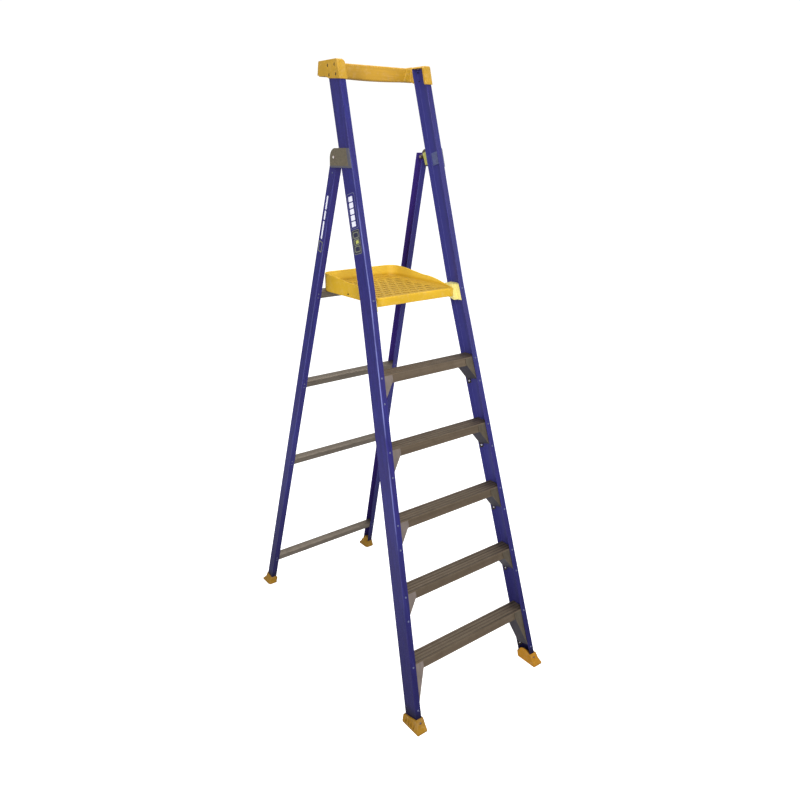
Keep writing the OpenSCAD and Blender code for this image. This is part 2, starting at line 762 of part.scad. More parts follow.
flip() front_stile();  // front_stile_left
front_stile();  // front_stile_right
tread(1);  // tread_1
tread(2);  // tread_2
tread(3);  // tread_3
tread(4);  // tread_4
tread(5);  // tread_5
flip() knee_brace(1);  // knee_brace_1_left
flip() knee_brace(2);  // knee_brace_2_left
flip() knee_brace(3);  // knee_brace_3_left
flip() knee_brace(4);  // knee_brace_4_left
flip() knee_brace(5);  // knee_brace_5_left
knee_brace(1);  // knee_brace_1_right
knee_brace(2);  // knee_brace_2_right
knee_brace(3);  // knee_brace_3_right
knee_brace(4);  // knee_brace_4_right
knee_brace(5);  // knee_brace_5_right
flip() tread_rivets();  // tread_rivets_left
tread_rivets();  // tread_rivets_right
handrail_bar();
flip() handrail_cap();  // handrail_cap_left
handrail_cap();  // handrail_cap_right
handrail_rivets();
flip() hinge_plate();  // hinge_plate_left
hinge_plate();  // hinge_plate_right
flip() hinge_backing_plate();  // hinge_backing_plate_left
hinge_backing_plate();  // hinge_backing_plate_right
hinge_rivets();
flip() hinge_spacer();  // hinge_spacer_left
hinge_spacer();  // hinge_spacer_right
flip() hinge_pin();  // hinge_pin_left
hinge_pin();  // hinge_pin_right
flip() hinge_sleeve();  // hinge_sleeve_left
hinge_sleeve();  // hinge_sleeve_right
flip() hinge_nut();  // hinge_nut_left
hinge_nut();  // hinge_nut_right
flip() platform_bracket();  // platform_bracket_left
platform_bracket();  // platform_bracket_right
flip() platform_pin();  // platform_pin_left
platform_pin();  // platform_pin_right
platform_bracket_rivets();
platform_tray();
flip() front_foot();  // front_foot_left
front_foot();  // front_foot_right
front_foot_rivets();
flip() rear_rail();  // rear_rail_left
rear_rail();  // rear_rail_right
rear_bar(0);  // rear_bar_lower
rear_bar(1);  // rear_bar_middle
rear_bar(2);  // rear_bar_upper
rear_bar(3);  // platform_support_bar
flip() rear_rivets();  // rear_rivets_left
rear_rivets();  // rear_rivets_right
flip() rear_foot();  // rear_foot_left
rear_foot();  // rear_foot_right
rear_foot_rivets();
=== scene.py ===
"""Looks of a fibreglass platform step ladder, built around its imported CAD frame."""

import json
import math

import bmesh
import bpy
from mathutils import Matrix, Vector


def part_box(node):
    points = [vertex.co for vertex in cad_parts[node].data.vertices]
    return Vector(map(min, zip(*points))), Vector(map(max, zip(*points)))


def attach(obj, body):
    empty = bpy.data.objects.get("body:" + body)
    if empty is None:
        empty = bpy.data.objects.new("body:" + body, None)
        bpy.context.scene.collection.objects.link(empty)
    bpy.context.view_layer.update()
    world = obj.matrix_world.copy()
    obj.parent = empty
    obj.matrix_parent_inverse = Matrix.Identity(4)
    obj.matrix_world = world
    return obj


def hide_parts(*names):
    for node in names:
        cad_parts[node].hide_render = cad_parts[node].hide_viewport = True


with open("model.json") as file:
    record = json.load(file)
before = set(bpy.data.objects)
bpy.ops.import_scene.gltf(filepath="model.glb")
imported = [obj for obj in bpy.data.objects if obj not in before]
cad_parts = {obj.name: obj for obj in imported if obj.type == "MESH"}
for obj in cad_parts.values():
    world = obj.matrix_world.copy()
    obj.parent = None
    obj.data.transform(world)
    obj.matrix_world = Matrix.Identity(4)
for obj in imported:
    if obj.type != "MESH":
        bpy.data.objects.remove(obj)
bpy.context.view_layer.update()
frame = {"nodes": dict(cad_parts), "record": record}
BODY = {n: b for b, ns in frame["record"]["behaviour"]["bodies"].items() for n in ns}
SLOT = {s["node"]: s["material_slot"] for s in frame["record"]["subparts"]}
MM = 0.001

# The two sides as the climber sees them, and the sign of X on each
SIDES = {"left": -1, "right": 1}

FRONT_LEAN, REAR_LEAN = math.radians(14.9), math.radians(15.85)
FRONT_SLOPE, REAR_SLOPE = math.tan(FRONT_LEAN), math.tan(REAR_LEAN)

# Along the floor, from the front plane of the stiles to the front plane of the rear rails
FLOOR_RUN = 1.332

# Outer faces of the front stiles: half widths at the floor, at the bend and at the top
BASE_HALF, BEND_HALF, TOP_HALF = 0.354, 0.2445, 0.2215
BEND_S = 1.732 / math.cos(FRONT_LEAN)
TOP_S = 2.594 / math.cos(FRONT_LEAN)
LOW_SPLAY = (BASE_HALF - BEND_HALF) / BEND_S
TOP_SPLAY = (BEND_HALF - TOP_HALF) / (TOP_S - BEND_S)

# Outer faces of the rear rails: half width at the floor, and their slope inward
RAIL_HALF, RAIL_SPLAY = 0.337, 0.0466


def low(node):
    return Vector(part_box(node)[0])


def high(node):
    return Vector(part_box(node)[1])


# Where the front planes of the stiles and of the rear rails meet the floor
stile_low = low("front_stile_left")
FRONT_Y = stile_low.y - stile_low.z * FRONT_SLOPE
FRONT_M = Matrix.Translation((0, FRONT_Y, 0)) @ Matrix.Rotation(-FRONT_LEAN, 4, "X")
REAR_Y = FRONT_Y + FLOOR_RUN
REAR_M = Matrix.Translation((0, REAR_Y, 0)) @ Matrix.Rotation(REAR_LEAN, 4, "X")

# The tray's box, the depth of its front lip and the top of its deck
TRAY_LO, TRAY_HI = low("platform_tray"), high("platform_tray")
LIP = 34 * MM
DECK_Z = TRAY_LO.z + LIP


# -------- materials
class Nodes:
    """Small builder for one procedural material."""

    def __init__(self, name):
        self.mat = bpy.data.materials.new(name)
        self.mat.use_nodes = True
        self.tree = self.mat.node_tree
        self.bsdf = self.tree.nodes["Principled BSDF"]
        self.coord = self.tree.nodes.new("ShaderNodeTexCoord").outputs["Object"]

    def feed(self, node, inputs):
        """Links each given output into its socket, or sets the socket's own value."""
        for key, value in inputs.items():
            if hasattr(value, "is_output"):
                self.tree.links.new(value, node.inputs[key])
            else:
                node.inputs[key].default_value = value

    def add(self, kind, inputs=None, **props):
        node = self.tree.nodes.new(kind)
        for key, value in props.items():
            setattr(node, key, value)
        self.feed(node, inputs or {})
        return node

    def mapping(self, rotation=(0, 0, 0), scale=(1, 1, 1)):
        """Object coordinates turned first and stretched afterwards."""
        turned = self.add("ShaderNodeMapping", {"Vector": self.coord, "Rotation": rotation}).outputs[0]
        return self.add("ShaderNodeMapping", {"Vector": turned, "Scale": scale}).outputs[0]

    def noise(self, vector, scale, detail=3.0, rough=0.55):
        inputs = {"Vector": vector, "Scale": scale, "Detail": detail, "Roughness": rough}
        return self.add("ShaderNodeTexNoise", inputs).outputs["Fac"]

    def spots(self, scale):
        inputs = {"Vector": self.coord, "Scale": scale}
        return self.add("ShaderNodeTexVoronoi", inputs).outputs["Distance"]

    def axis(self, index):
        """One object coordinate: 0, 1 or 2 for X, Y or Z."""
        return self.add("ShaderNodeSeparateXYZ", {"Vector": self.coord}).outputs[index]

    def remap(self, value, start, end, first=0.0, last=1.0):
        """Goes from first to last as the value goes from start to end, and is held beyond."""
        inputs = {"Value": value, "From Min": start, "From Max": end, "To Min": first, "To Max": last}
        return self.add("ShaderNodeMapRange", inputs).outputs[0]

    def between(self, value, low_edge, high_edge, soft):
        """1 inside the interval, fading to 0 over a soft margin outside it."""
        up = self.remap(value, low_edge - soft, low_edge)
        down = self.remap(value, high_edge, high_edge + soft, 1.0, 0.0)
        return self.times(up, down)

    def ramp(self, fac, stops):
        node = self.add("ShaderNodeValToRGB", {"Fac": fac})
        ramp = node.color_ramp
        while len(ramp.elements) < len(stops):
            ramp.elements.new(0.5)
        for element, (pos, value) in zip(ramp.elements, stops):
            element.position = pos
            if isinstance(value, (int, float)):
                value = (value, value, value)
            element.color = (*value, 1.0)
        return node.outputs["Color"]

    def mix(self, fac, a, b):
        a, b = (v if hasattr(v, "is_output") else (*v, 1.0) for v in (a, b))
        return self.add("ShaderNodeMix", {0: fac, 6: a, 7: b}, data_type="RGBA").outputs[2]

    def math(self, op, a, b=0.0):
        return self.add("ShaderNodeMath", {0: a, 1: b}, operation=op).outputs[0]

    def times(self, a, b):
        return self.math("MULTIPLY", a, b)

    def minus(self, a, b):
        return self.math("SUBTRACT", a, b)

    def edge(self, radius):
        """1 on edges and corners, 0 on flats."""
        soft = self.add("ShaderNodeBevel", {"Radius": radius}, samples=6).outputs["Normal"]
        true = self.add("ShaderNodeNewGeometry").outputs["Normal"]
        dot = self.add("ShaderNodeVectorMath", {0: soft, 1: true}, operation="DOT_PRODUCT")
        return self.ramp(dot.outputs["Value"], [(0.80, 1.0), (0.995, 0.0)])

    def finish(self, colour, rough, bumps=(), **others):
        """Wires the shader. Bumps are (height, distance, strength), each laid over the last."""
        others.update(Base_Color=colour, Roughness=rough)
        inputs = {}
        for height, distance, strength in bumps:
            inputs.update(Height=height, Distance=distance, Strength=strength)
            inputs["Normal"] = self.add("ShaderNodeBump", inputs).outputs["Normal"]
            others["Normal"] = inputs["Normal"]
        self.feed(self.bsdf, {name.replace("_", " "): value for name, value in others.items()})
        return self.mat


def channel_frame(n, lean, origin_y):
    """Depth behind a channel's front flange plane, and length along the channel."""
    away, height = n.minus(n.axis(1), origin_y), n.axis(2)
    depth = n.minus(n.times(away, math.cos(lean)), n.times(height, math.sin(lean)))
    run = n.math("ADD", n.times(away, math.sin(lean)), n.times(height, math.cos(lean)))
    return depth, run


def stile_place(n):
    """Depth behind the flange plane, and distance in from the stile's outer face."""
    depth, run = channel_frame(n, FRONT_LEAN, FRONT_Y)
    lower = n.minus(BASE_HALF, n.times(run, LOW_SPLAY))
    upper = n.minus(BEND_HALF + BEND_S * TOP_SPLAY, n.times(run, TOP_SPLAY))
    return depth, n.minus(n.math("MAXIMUM", lower, upper), n.math("ABSOLUTE", n.axis(0)))


def rail_place(n):
    """The same two distances on a rear rail."""
    depth, run = channel_frame(n, -REAR_LEAN, REAR_Y)
    outer = n.minus(RAIL_HALF, n.times(run, RAIL_SPLAY))
    return depth, n.minus(outer, n.math("ABSOLUTE", n.axis(0)))


def fibreglass(name, lean, splay, place, inner_painted_light, line):
    """Blue pultruded channel: fine fibre streaks along its length under a satin resin."""
    n = Nodes(name)

    def streaks(stretch, scale, detail):
        return n.noise(n.mapping((lean, splay, 0), (1, 1, stretch)), scale, detail)

    fine, broad, cloud = streaks(0.012, 900, 2.0), streaks(0.02, 120, 3.0), streaks(0.35, 14, 2.0)
    veil = n.noise(n.coord, 420, 3.0)
    dark, mid, pale = (0.014, 0.014, 0.108), (0.024, 0.022, 0.178), (0.066, 0.072, 0.330)
    colour = n.mix(n.ramp(broad, [(0.34, 0.0), (0.70, 1.0)]), dark, mid)
    colour = n.mix(n.ramp(fine, [(0.50, 0.0), (0.80, 0.50)]), colour, pale)
    colour = n.mix(n.ramp(cloud, [(0.35, 0.0), (0.75, 0.40)]), colour, (0.028, 0.014, 0.105))
    wear = n.times(n.edge(0.0022), n.ramp(broad, [(0.36, 0.25), (0.62, 0.75)]))
    colour = n.mix(wear, colour, (0.10, 0.10, 0.34))
    depth, inset = place(n)
    # Painted light: the inside of the channel, which its flanges shade, is made paler
    hollow = n.times(n.between(inset, 0.0035, 0.06, 0.0004), n.between(depth, 0.0033, 0.0727, 0.0004))
    colour = n.mix(n.times(hollow, 0.7), colour, inner_painted_light)
    # Painted highlight along the channel's front outer corner, patchy, from about 0.85 to 2 m up
    patchy = n.ramp(streaks(0.15, 24, 4.0), [(0.36, 0.05), (0.60, 1.0)])
    corner = n.between(n.math("ADD", depth, inset), -0.01, 0.0026, 0.0016)
    corner = n.times(corner, n.between(n.axis(2), 0.85, 2.0, 0.4))
    colour = n.mix(n.times(n.times(corner, patchy), line), colour, (0.26, 0.28, 0.66))
    soiled = n.ramp(veil, [(0.3, 0.35), (0.7, 0.9)])
    grime = n.times(n.between(n.axis(2), -0.1, 0.15, 0.8), soiled)
    colour = n.mix(grime, colour, (0.012, 0.010, 0.042))
    muddy = n.times(n.between(n.axis(2), -0.1, 0.060, 0.035), 0.65)
    colour = n.mix(muddy, colour, (0.004, 0.003, 0.008))
    rough = n.ramp(n.mix(0.5, fine, veil), [(0.30, 0.26), (0.70, 0.44)])
    gloss = n.ramp(grime, [(0.05, 0.25), (0.55, 0.07)])
    bumps = [(fine, 0.00016, 0.6), (veil, 0.00012, 0.3)]
    return n.finish(colour, rough, bumps, Specular_IOR_Level=gloss)


# Dirty lines along the tread tops: the first one's place behind the front plane, and the pitch
LINE_START, LINE_PITCH = 12 * MM, 17 * MM


def tread_lines(n):
    """1 in the dirty grooves that run along a tread's top, 0 on the lands between."""
    behind = n.minus(n.axis(1), n.times(n.axis(2), FRONT_SLOPE))
    phase = n.times(n.minus(behind, FRONT_Y + LINE_START), 2 * math.pi / LINE_PITCH)
    return n.ramp(n.math("COSINE", phase), [(0.30, 0.0), (0.85, 1.0)])


def aluminium(name, tint, lines=(0.02, 1, 1), grooves=None, shadow=None,
              shadow_tint=(0.030, 0.030, 0.060)):
    """Dull mill-finish metal with drawing lines along one axis."""
    n = Nodes(name)
    drawn = n.noise(n.mapping(scale=lines), 700, 3.0)
    bands = n.noise(n.mapping(scale=lines), 90, 2.0)
    stain = n.noise(n.coord, 22, 5.0, 0.62)
    grain = n.noise(n.coord, 1500, 2.0)
    light = [min(1.0, c * 1.28) for c in tint]
    colour = n.mix(n.ramp(bands, [(0.32, 0.0), (0.70, 1.0)]), tint, light)
    colour = n.mix(n.ramp(drawn, [(0.50, 0.0), (0.78, 0.45)]), colour, light)
    colour = n.mix(n.ramp(stain, [(0.46, 0.0), (0.74, 0.35)]), colour, [c * 0.62 for c in tint])
    if grooves:
        broken = n.ramp(n.noise(n.mapping(scale=(0.06, 1, 1)), 60, 3.0), [(0.30, 0.35), (0.65, 0.95)])
        colour = n.mix(n.times(grooves(n), broken), colour, [c * 0.40 for c in tint])
    if shadow:
        colour = n.mix(n.times(shadow(n), 0.75), colour, shadow_tint)
    colour = n.mix(n.times(n.edge(0.0010), 0.5), colour, (0.40, 0.37, 0.33))
    rough = n.ramp(n.mix(0.55, drawn, stain), [(0.30, 0.36), (0.72, 0.60)])
    return n.finish(colour, rough, [(drawn, 0.00010, 0.6), (grain, 0.00005, 0.4)], Metallic=0.75)


def tray_band(z0, z1, soft, amount=1.0):
    """Mask of a range of heights from the deck, inside the tray's walls."""
    half = TRAY_HI.x - 0.004

    def mask(n):
        across = n.between(n.axis(0), -half, half, 0.0005)
        along = n.between(n.axis(1), TRAY_LO.y + 0.010, TRAY_HI.y - 0.004, 0.004)
        upright = n.between(n.axis(2), DECK_Z + z0, DECK_Z + z1, soft)
        return n.times(n.times(n.times(across, along), upright), amount)

    return mask


def moulding(name, tint, rough=(0.40, 0.58), grain=0.0001, scuff=0.25, shade=0.72, lines=None,
             shaded=()):
    """Moulded plastic: fine grain, gentle colour drift, dull scuffs along the edges."""
    n = Nodes(name)
    cloud = n.noise(n.coord, 9, 4.0)
    drift = n.noise(n.coord, 55, 4.0, 0.6)
    fine = n.noise(n.coord, 1100, 2.0)
    cells = n.spots(1300)
    dark = [c * shade for c in tint]
    pale = [c + (1.0 - c) * 0.16 for c in tint]
    colour = n.mix(n.ramp(cloud, [(0.36, 0.0), (0.70, 0.5)]), tint, dark)
    colour = n.mix(n.ramp(drift, [(0.50, 0.0), (0.75, 0.35)]), colour, pale)
    if lines:
        flow = n.noise(n.mapping(scale=lines), 160, 2.0)
        colour = n.mix(n.ramp(flow, [(0.45, 0.0), (0.72, 0.55)]), colour, dark)
    for mask, shift in shaded:
        colour = n.mix(mask(n), colour, shift)
    rub = n.times(n.edge(0.0022), n.ramp(drift, [(0.42, 0.1), (0.62, 1.0)]))
    colour = n.mix(n.times(rub, scuff), colour, pale)
    gloss = n.ramp(n.mix(0.5, drift, fine), [(0.32, rough[0]), (0.68, rough[1])])
    return n.finish(colour, gloss, [(cells, grain, 0.5), (fine, grain, 0.35)], Specular_IOR_Level=0.28)


def plated(name, tint, wear=0.4, metallic=0.8, band=None, band_tint=(0.115, 0.120, 0.185)):
    """Plated steel sheet or fastener: dull, faintly mottled, brighter on its edges."""
    n = Nodes(name)
    mottle = n.noise(n.coord, 130, 4.0, 0.6)
    speck = n.spots(420)
    fine = n.noise(n.coord, 1600, 2.0)
    dark = [c * 0.80 for c in tint]
    pale = [min(1.0, c * 1.16) for c in tint]
    colour = n.mix(n.ramp(mottle, [(0.34, 0.0), (0.70, 1.0)]), dark, pale)
    colour = n.mix(n.ramp(speck, [(0.08, 0.20), (0.28, 0.0)]), colour, dark)
    colour = n.mix(n.times(n.edge(0.0009), wear), colour, pale)
    if band:
        colour = n.mix(band(n), colour, band_tint)
    rough = n.ramp(n.mix(0.5, mottle, fine), [(0.32, 0.34), (0.70, 0.56)])
    return n.finish(colour, rough, [(fine, 0.00006, 0.5), (mottle, 0.00012, 0.3)], Metallic=metallic)


def stile_band(start, end, soft, amount=1.0):
    """Mask of a range of depths behind the stiles' front plane."""
    return lambda n: n.times(n.between(stile_place(n)[0], start, end, soft), amount)


def plate_band(n):
    """Bluish strip along the hinge plate's front and bottom edges."""
    bottom = low("hinge_plate_left").z
    front = stile_band(-0.01, 0.016, 0.006)(n)
    under = n.between(n.axis(2), bottom - 0.01, bottom + 0.005, 0.004)
    return n.times(n.math("MAXIMUM", front, under), 0.8)


def inner_side(n):
    """1 on what lies inside the stile's web, 0 outside it."""
    return n.between(stile_place(n)[1], 0.002, 0.3, 0.001)


def off_centre(n):
    """1 on a hinge pin's rim and inner end, 0 on the middle of its outer head, where the pin's pale
    colour is a painted highlight.
    """
    mid = (low("hinge_pin_left") + high("hinge_pin_left")) / 2
    dy, dz = n.minus(n.axis(1), mid.y), n.minus(n.axis(2), mid.z)
    away = n.math("SQRT", n.math("ADD", n.times(dy, dy), n.times(dz, dz)))
    return n.math("MAXIMUM", n.between(away, 0.0048, 0.05, 0.0008), inner_side(n))


# Painted light: shade on the front wall of a tread, a highlight on the rivet ends inside the channel,
# and shade on the web of a knee brace
tread_front = stile_band(-0.01, 0.0072, 0.001, 0.32)
rivet_ends = stile_band(0.001, 0.074, 0.001, 0.85)
brace_web = stile_band(0.0072, 0.0688, 0.0004)

# Painted light and shade on the tray: the upper part of its walls paler, its deck with the foot of the
# walls darker, and the slot bottoms darkest
tray_rim = tray_band(0.022, 0.060, 0.012, 0.8)
tray_floor = tray_band(-0.003, 0.002, 0.012, 0.85)
tray_slot = tray_band(-0.004, -0.0016, 0.0006)

MAT = {
    f"{key}_{side}": fibreglass(f"{name}_{side}", lean, -sign * math.radians(splay), *rest)
    for key, name, lean, splay, *rest in (
        # The last two: the paler colour painted inside the channel as light, and the strength of the
        # painted corner highlight
        ("stile_blue", "frp_front", FRONT_LEAN, 3.5, stile_place, (0.055, 0.055, 0.235), 0.6),
        ("rail_blue", "frp_rear", -REAR_LEAN, 2.7, rail_place, (0.060, 0.030, 0.220), 0.15),
    )
    for side, sign in SIDES.items()
}
MAT.update({
    "tread_aluminium": aluminium("tread_metal", (0.164, 0.126, 0.088), grooves=tread_lines,
                                 shadow=tread_front, shadow_tint=(0.045, 0.022, 0.004)),
    # Knee braces: a lit copy of one metal for the left ones, and a darker copy as painted shade for the
    # right ones, with painted shade on their web
    "brace_aluminium": aluminium("brace_metal", (0.225, 0.185, 0.165), (1, 1, 0.05)),
    "brace_shaded": aluminium("brace_shaded_metal", (0.110, 0.090, 0.064), (1, 1, 0.05), shadow=brace_web),
    "bar_aluminium": aluminium("bar_metal", (0.155, 0.130, 0.103)),
    # Rivet ends inside the channel are painted near white, as a highlight
    "rivet_metal": plated("rivet_metal", (0.12, 0.13, 0.25), 0.3, 0.5, rivet_ends, (0.90, 0.90, 1.00)),
    "handrail_yellow": moulding("handrail_moulding", (0.53, 0.29, 0.022), lines=(0.02, 1, 1)),
    "cap_yellow": moulding("cap_moulding", (0.50, 0.285, 0.022), shade=0.62),
    "dark_rivet_metal": plated("dark_rivet_metal", (0.022, 0.014, 0.006), 0.1, 0.3),
    "hinge_steel": plated("hinge_metal", (0.190, 0.160, 0.110), 0.2, 0.5, plate_band),
    "hinge_rivet": plated("hinge_rivet_metal", (0.175, 0.148, 0.102), 0.1, 0.4, inner_side,
                          (0.125, 0.145, 0.285)),
    "backing_steel": plated("backing_metal", (0.130, 0.150, 0.300), 0.2, 0.3),
    "spacer_plastic": moulding("spacer_moulding", (0.40, 0.39, 0.10)),
    # Pin: pale only in the middle of its outer head, a painted highlight, and dark elsewhere
    "pin_steel": plated("pin_metal", (0.80, 0.76, 0.70), 0.1, 0.15, off_centre, (0.20, 0.145, 0.135)),
    "nut_steel": plated("nut_metal", (0.13, 0.105, 0.10), 0.3),
    "bracket_plastic": moulding("bracket_moulding", (0.80, 0.71, 0.25), shade=0.86),
    # Tray plastic with the painted light and shade of the masks above
    "tray_yellow": moulding("tray_moulding", (0.68, 0.41, 0.018), shaded=(
        (tray_rim, (0.82, 0.56, 0.060)),
        (tray_floor, (0.47, 0.28, 0.020)),
        (tray_slot, (0.27, 0.14, 0.012)),
    )),
    "foot_plastic": moulding("foot_moulding", (0.46, 0.205, 0.006), (0.5, 0.75), 0.0002, 0.25, 0.55),
    # Darker copy of the foot plastic: dirt, and painted shade
    "foot_dirt_and_shade": moulding("foot_dirt_and_shade_moulding", (0.31, 0.155, 0.006), (0.5, 0.75), 0.0002, 0.2, 0.4),
})


# -------- mesh helpers
def placed(name, data):
    """A scene object that shows a mesh, curve, lamp or camera."""
    ob = bpy.data.objects.new(name, data)
    bpy.context.scene.collection.objects.link(ob)
    return ob


def new_object(name, verts, faces):
    me = bpy.data.meshes.new(name)
    me.from_pydata([tuple(v) for v in verts], [], faces)
    me.update()
    return placed(name, me)


def mesh_data(me):
    """Verts and faces of a mesh, as plain lists."""
    return [v.co.copy() for v in me.vertices], [tuple(p.vertices) for p in me.polygons]


def evaluated(ob):
    """New mesh of an object with its modifiers, or of a curve's surface."""
    bpy.context.view_layer.update()
    graph = bpy.context.evaluated_depsgraph_get()
    return bpy.data.meshes.new_from_object(ob.evaluated_get(graph))


def weld(ob, dist):
    bm = bmesh.new()
    bm.from_mesh(ob.data)
    bmesh.ops.remove_doubles(bm, verts=bm.verts, dist=dist)
    bmesh.ops.recalc_face_normals(bm, faces=bm.faces)
    bm.to_mesh(ob.data)
    bm.free()


def apply_modifiers(ob):
    me = evaluated(ob)
    ob.modifiers.clear()
    ob.data = me


def install(ob, node, material=None):
    """The object stands for a CAD node, on its body."""
    ob.data.materials.clear()
    ob.data.materials.append(MAT[material or SLOT[node]])
    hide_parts(node)
    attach(ob, BODY[node])


def raw_copy(node, suffix="look"):
    ob = new_object(f"{node}_{suffix}", *mesh_data(frame["nodes"][node].data))
    weld(ob, 2e-6)
    return ob


def rounded(node, finish, width, slim, min_len, segments, slim_face=0.006):
    """CAD node with its long sharp edges rounded: width on broad faces, slim on thin ones."""
    ob = raw_copy(node)
    bm = bmesh.new()
    bm.from_mesh(ob.data)
    flat = math.radians(0.4)
    bmesh.ops.dissolve_limit(bm, angle_limit=flat, verts=bm.verts, edges=bm.edges, delimit=set())
    weight = bm.edges.layers.float.new("bevel_weight_edge")

    def breadth(face):
        return face.calc_area() / max(e.calc_length() for e in face.edges)

    for face in bm.faces:
        face.smooth = True
    for edge in bm.edges:
        if len(edge.link_faces) != 2 or edge.calc_face_angle(0) < math.radians(28):
            continue
        if edge.calc_length() < min_len:
            edge.smooth = False
            continue
        thin = min(breadth(f) for f in edge.link_faces) < slim_face
        edge[weight] = slim / width if thin else 1.0
    bm.to_mesh(ob.data)
    bm.free()
    mod = ob.modifiers.new("round", "BEVEL")
    mod.limit_method = "WEIGHT"
    mod.width = width
    mod.segments = segments
    mod.use_clamp_overlap = True
    mod.harden_normals = True
    apply_modifiers(ob)
    install(ob, node, finish)


def moulded(node, finish, voxel, rounds, extra, cutters=()):
    """CAD node and an extra part in one skin, softly rounded everywhere, as a moulding is."""
    ob = raw_copy(node)
    own = mesh_data(ob.data)
    bpy.data.objects.remove(ob)
    ob = gather(f"{node}_look", [own, extra])
    for k, cutter in enumerate(cutters):
        mod = ob.modifiers.new(f"cut{k}", "BOOLEAN")
        mod.operation = "DIFFERENCE"
        mod.solver = "EXACT"
        mod.object = cutter
    mod = ob.modifiers.new("skin", "REMESH")
    mod.mode = "VOXEL"
    mod.voxel_size = voxel
    mod.use_smooth_shade = True
    mod = ob.modifiers.new("soften", "SMOOTH")
    mod.factor = 0.5
    mod.iterations = rounds
    apply_modifiers(ob)
    for cutter in cutters:
        bpy.data.objects.remove(cutter)
    install(ob, node, finish)


def lathe(profile, matrix, steps):
    """Verts and faces of a profile of (radius, height) turned about the matrix's Z."""
    verts, faces, rings = [], [], []
    for r, z in profile:
        count = steps if r > 1e-7 else 1
        rings.append(range(len(verts), len(verts) + count))
        for k in range(count):
            a = 2 * math.pi * k / steps
            verts.append(matrix @ Vector((r * math.cos(a), r * math.sin(a), z)))
    for a, b in zip(rings, rings[1:]):
        for k in range(steps):
            j = (k + 1) % steps
            if len(a) == 1:
                faces.append((a[0], b[k], b[j]))
            elif len(b) == 1:
                faces.append((a[k], a[j], b[0]))
            else:
                faces.append((a[k], a[j], b[j], b[k]))
    return verts, faces


def in_mm(*pairs):
    return [(a * MM, b * MM) for a, b in pairs]


def turned(profile, place, sign, steps):
    """A profile turned about a line across the ladder, with its heights toward one side."""
    turn = Vector((sign, 0, 0)).to_track_quat("Z", "Y").to_matrix().to_4x4()
    return lathe(profile, Matrix.Translation(place) @ turn, steps)


def gather(name, parts):
    """One object from several (verts, faces) pairs."""
    verts, faces = [], []
    for vs, fs in parts:
        off = len(verts)
        verts.extend(vs)
        faces.extend(tuple(i + off for i in f) for f in fs)
    ob = new_object(name, verts, faces)
    weld(ob, 1e-7)
    return ob


def crisp(name, parts, angle):
    """The same, shaded smooth but for edges sharper than the angle."""
    ob = gather(name, parts)
    bm = bmesh.new()
    bm.from_mesh(ob.data)
    for face in bm.faces:
        face.smooth = True
    for edge in bm.edges:
        edge.smooth = len(edge.link_faces) == 2 and edge.calc_face_angle(0) < math.radians(angle)
    bm.to_mesh(ob.data)
    bm.free()
    return ob


def rounded_outline(corners, steps):
    """Closed outline with each corner (x, y, radius) replaced by an arc."""
    pts = []
    count = len(corners)
    for k, (x, y, r) in enumerate(corners):
        p = Vector((x, y))
        a = Vector(corners[k - 1][:2]) - p
        b = Vector(corners[(k + 1) % count][:2]) - p
        half = a.angle(b) / 2
        reach = min(r / math.tan(half), a.length * 0.49, b.length * 0.49)
        radius = reach * math.tan(half)
        centre = p + (a.normalized() + b.normalized()).normalized() * radius / math.sin(half)
        start = p + a.normalized() * reach - centre
        end = p + b.normalized() * reach - centre
        turn = start.angle_signed(end)
        for i in range(steps + 1):
            t = -turn * i / steps
            c, s = math.cos(t), math.sin(t)
            pts.append(centre + Vector((start.x * c - start.y * s, start.x * s + start.y * c)))
    return pts


def rounded_box(x0, y0, x1, y1, r, steps):
    """Closed outline of a rectangle with equal rounded corners."""
    return rounded_outline([(x0, y0, r), (x1, y0, r), (x1, y1, r), (x0, y1, r)], steps)


def loft(sections):
    """Verts and faces through closed sections of equal length, capped at both ends."""
    n = len(sections[0])
    verts = [v for sec in sections for v in sec]
    faces = []
    for k in range(len(sections) - 1):
        a, b = k * n, (k + 1) * n
        for i in range(n):
            j = (i + 1) % n
            faces.append((a + i, a + j, b + j, b + i))
    faces.append(tuple(range(n - 1, -1, -1)))
    last = (len(sections) - 1) * n
    faces.append(tuple(range(last, last + n)))
    return verts, faces


def stadium(cx, cy, length, width):
    """Round-ended slot outline that runs along X."""
    r = width / 2
    pts = []
    for side, start in ((1, -math.pi / 2), (-1, math.pi / 2)):
        for k in range(7):
            a = start + math.pi * k / 6
            pts.append((cx + side * (length / 2 - r) + r * math.cos(a), cy + r * math.sin(a)))
    return pts


# -------- channels
for side in SIDES:
    rounded(f"front_stile_{side}", f"stile_blue_{side}", 0.0034, 0.0013, 0.015, 5)
    rounded(f"rear_rail_{side}", f"rail_blue_{side}", 0.0028, 0.0011, 0.012, 5)


# -------- treads and bars
# Walls of the stiles, braces and treads, depth of the stiles, and the treads' fine ribs
STILE_T, BRACE_T, TREAD_T = 4 * MM, 2.5 * MM, 2.5 * MM
STILE_D = 76 * MM
GROOVE_PITCH, GROOVE_W, GROOVE_DEEP = 6 * MM, 3.2 * MM, 0.5 * MM


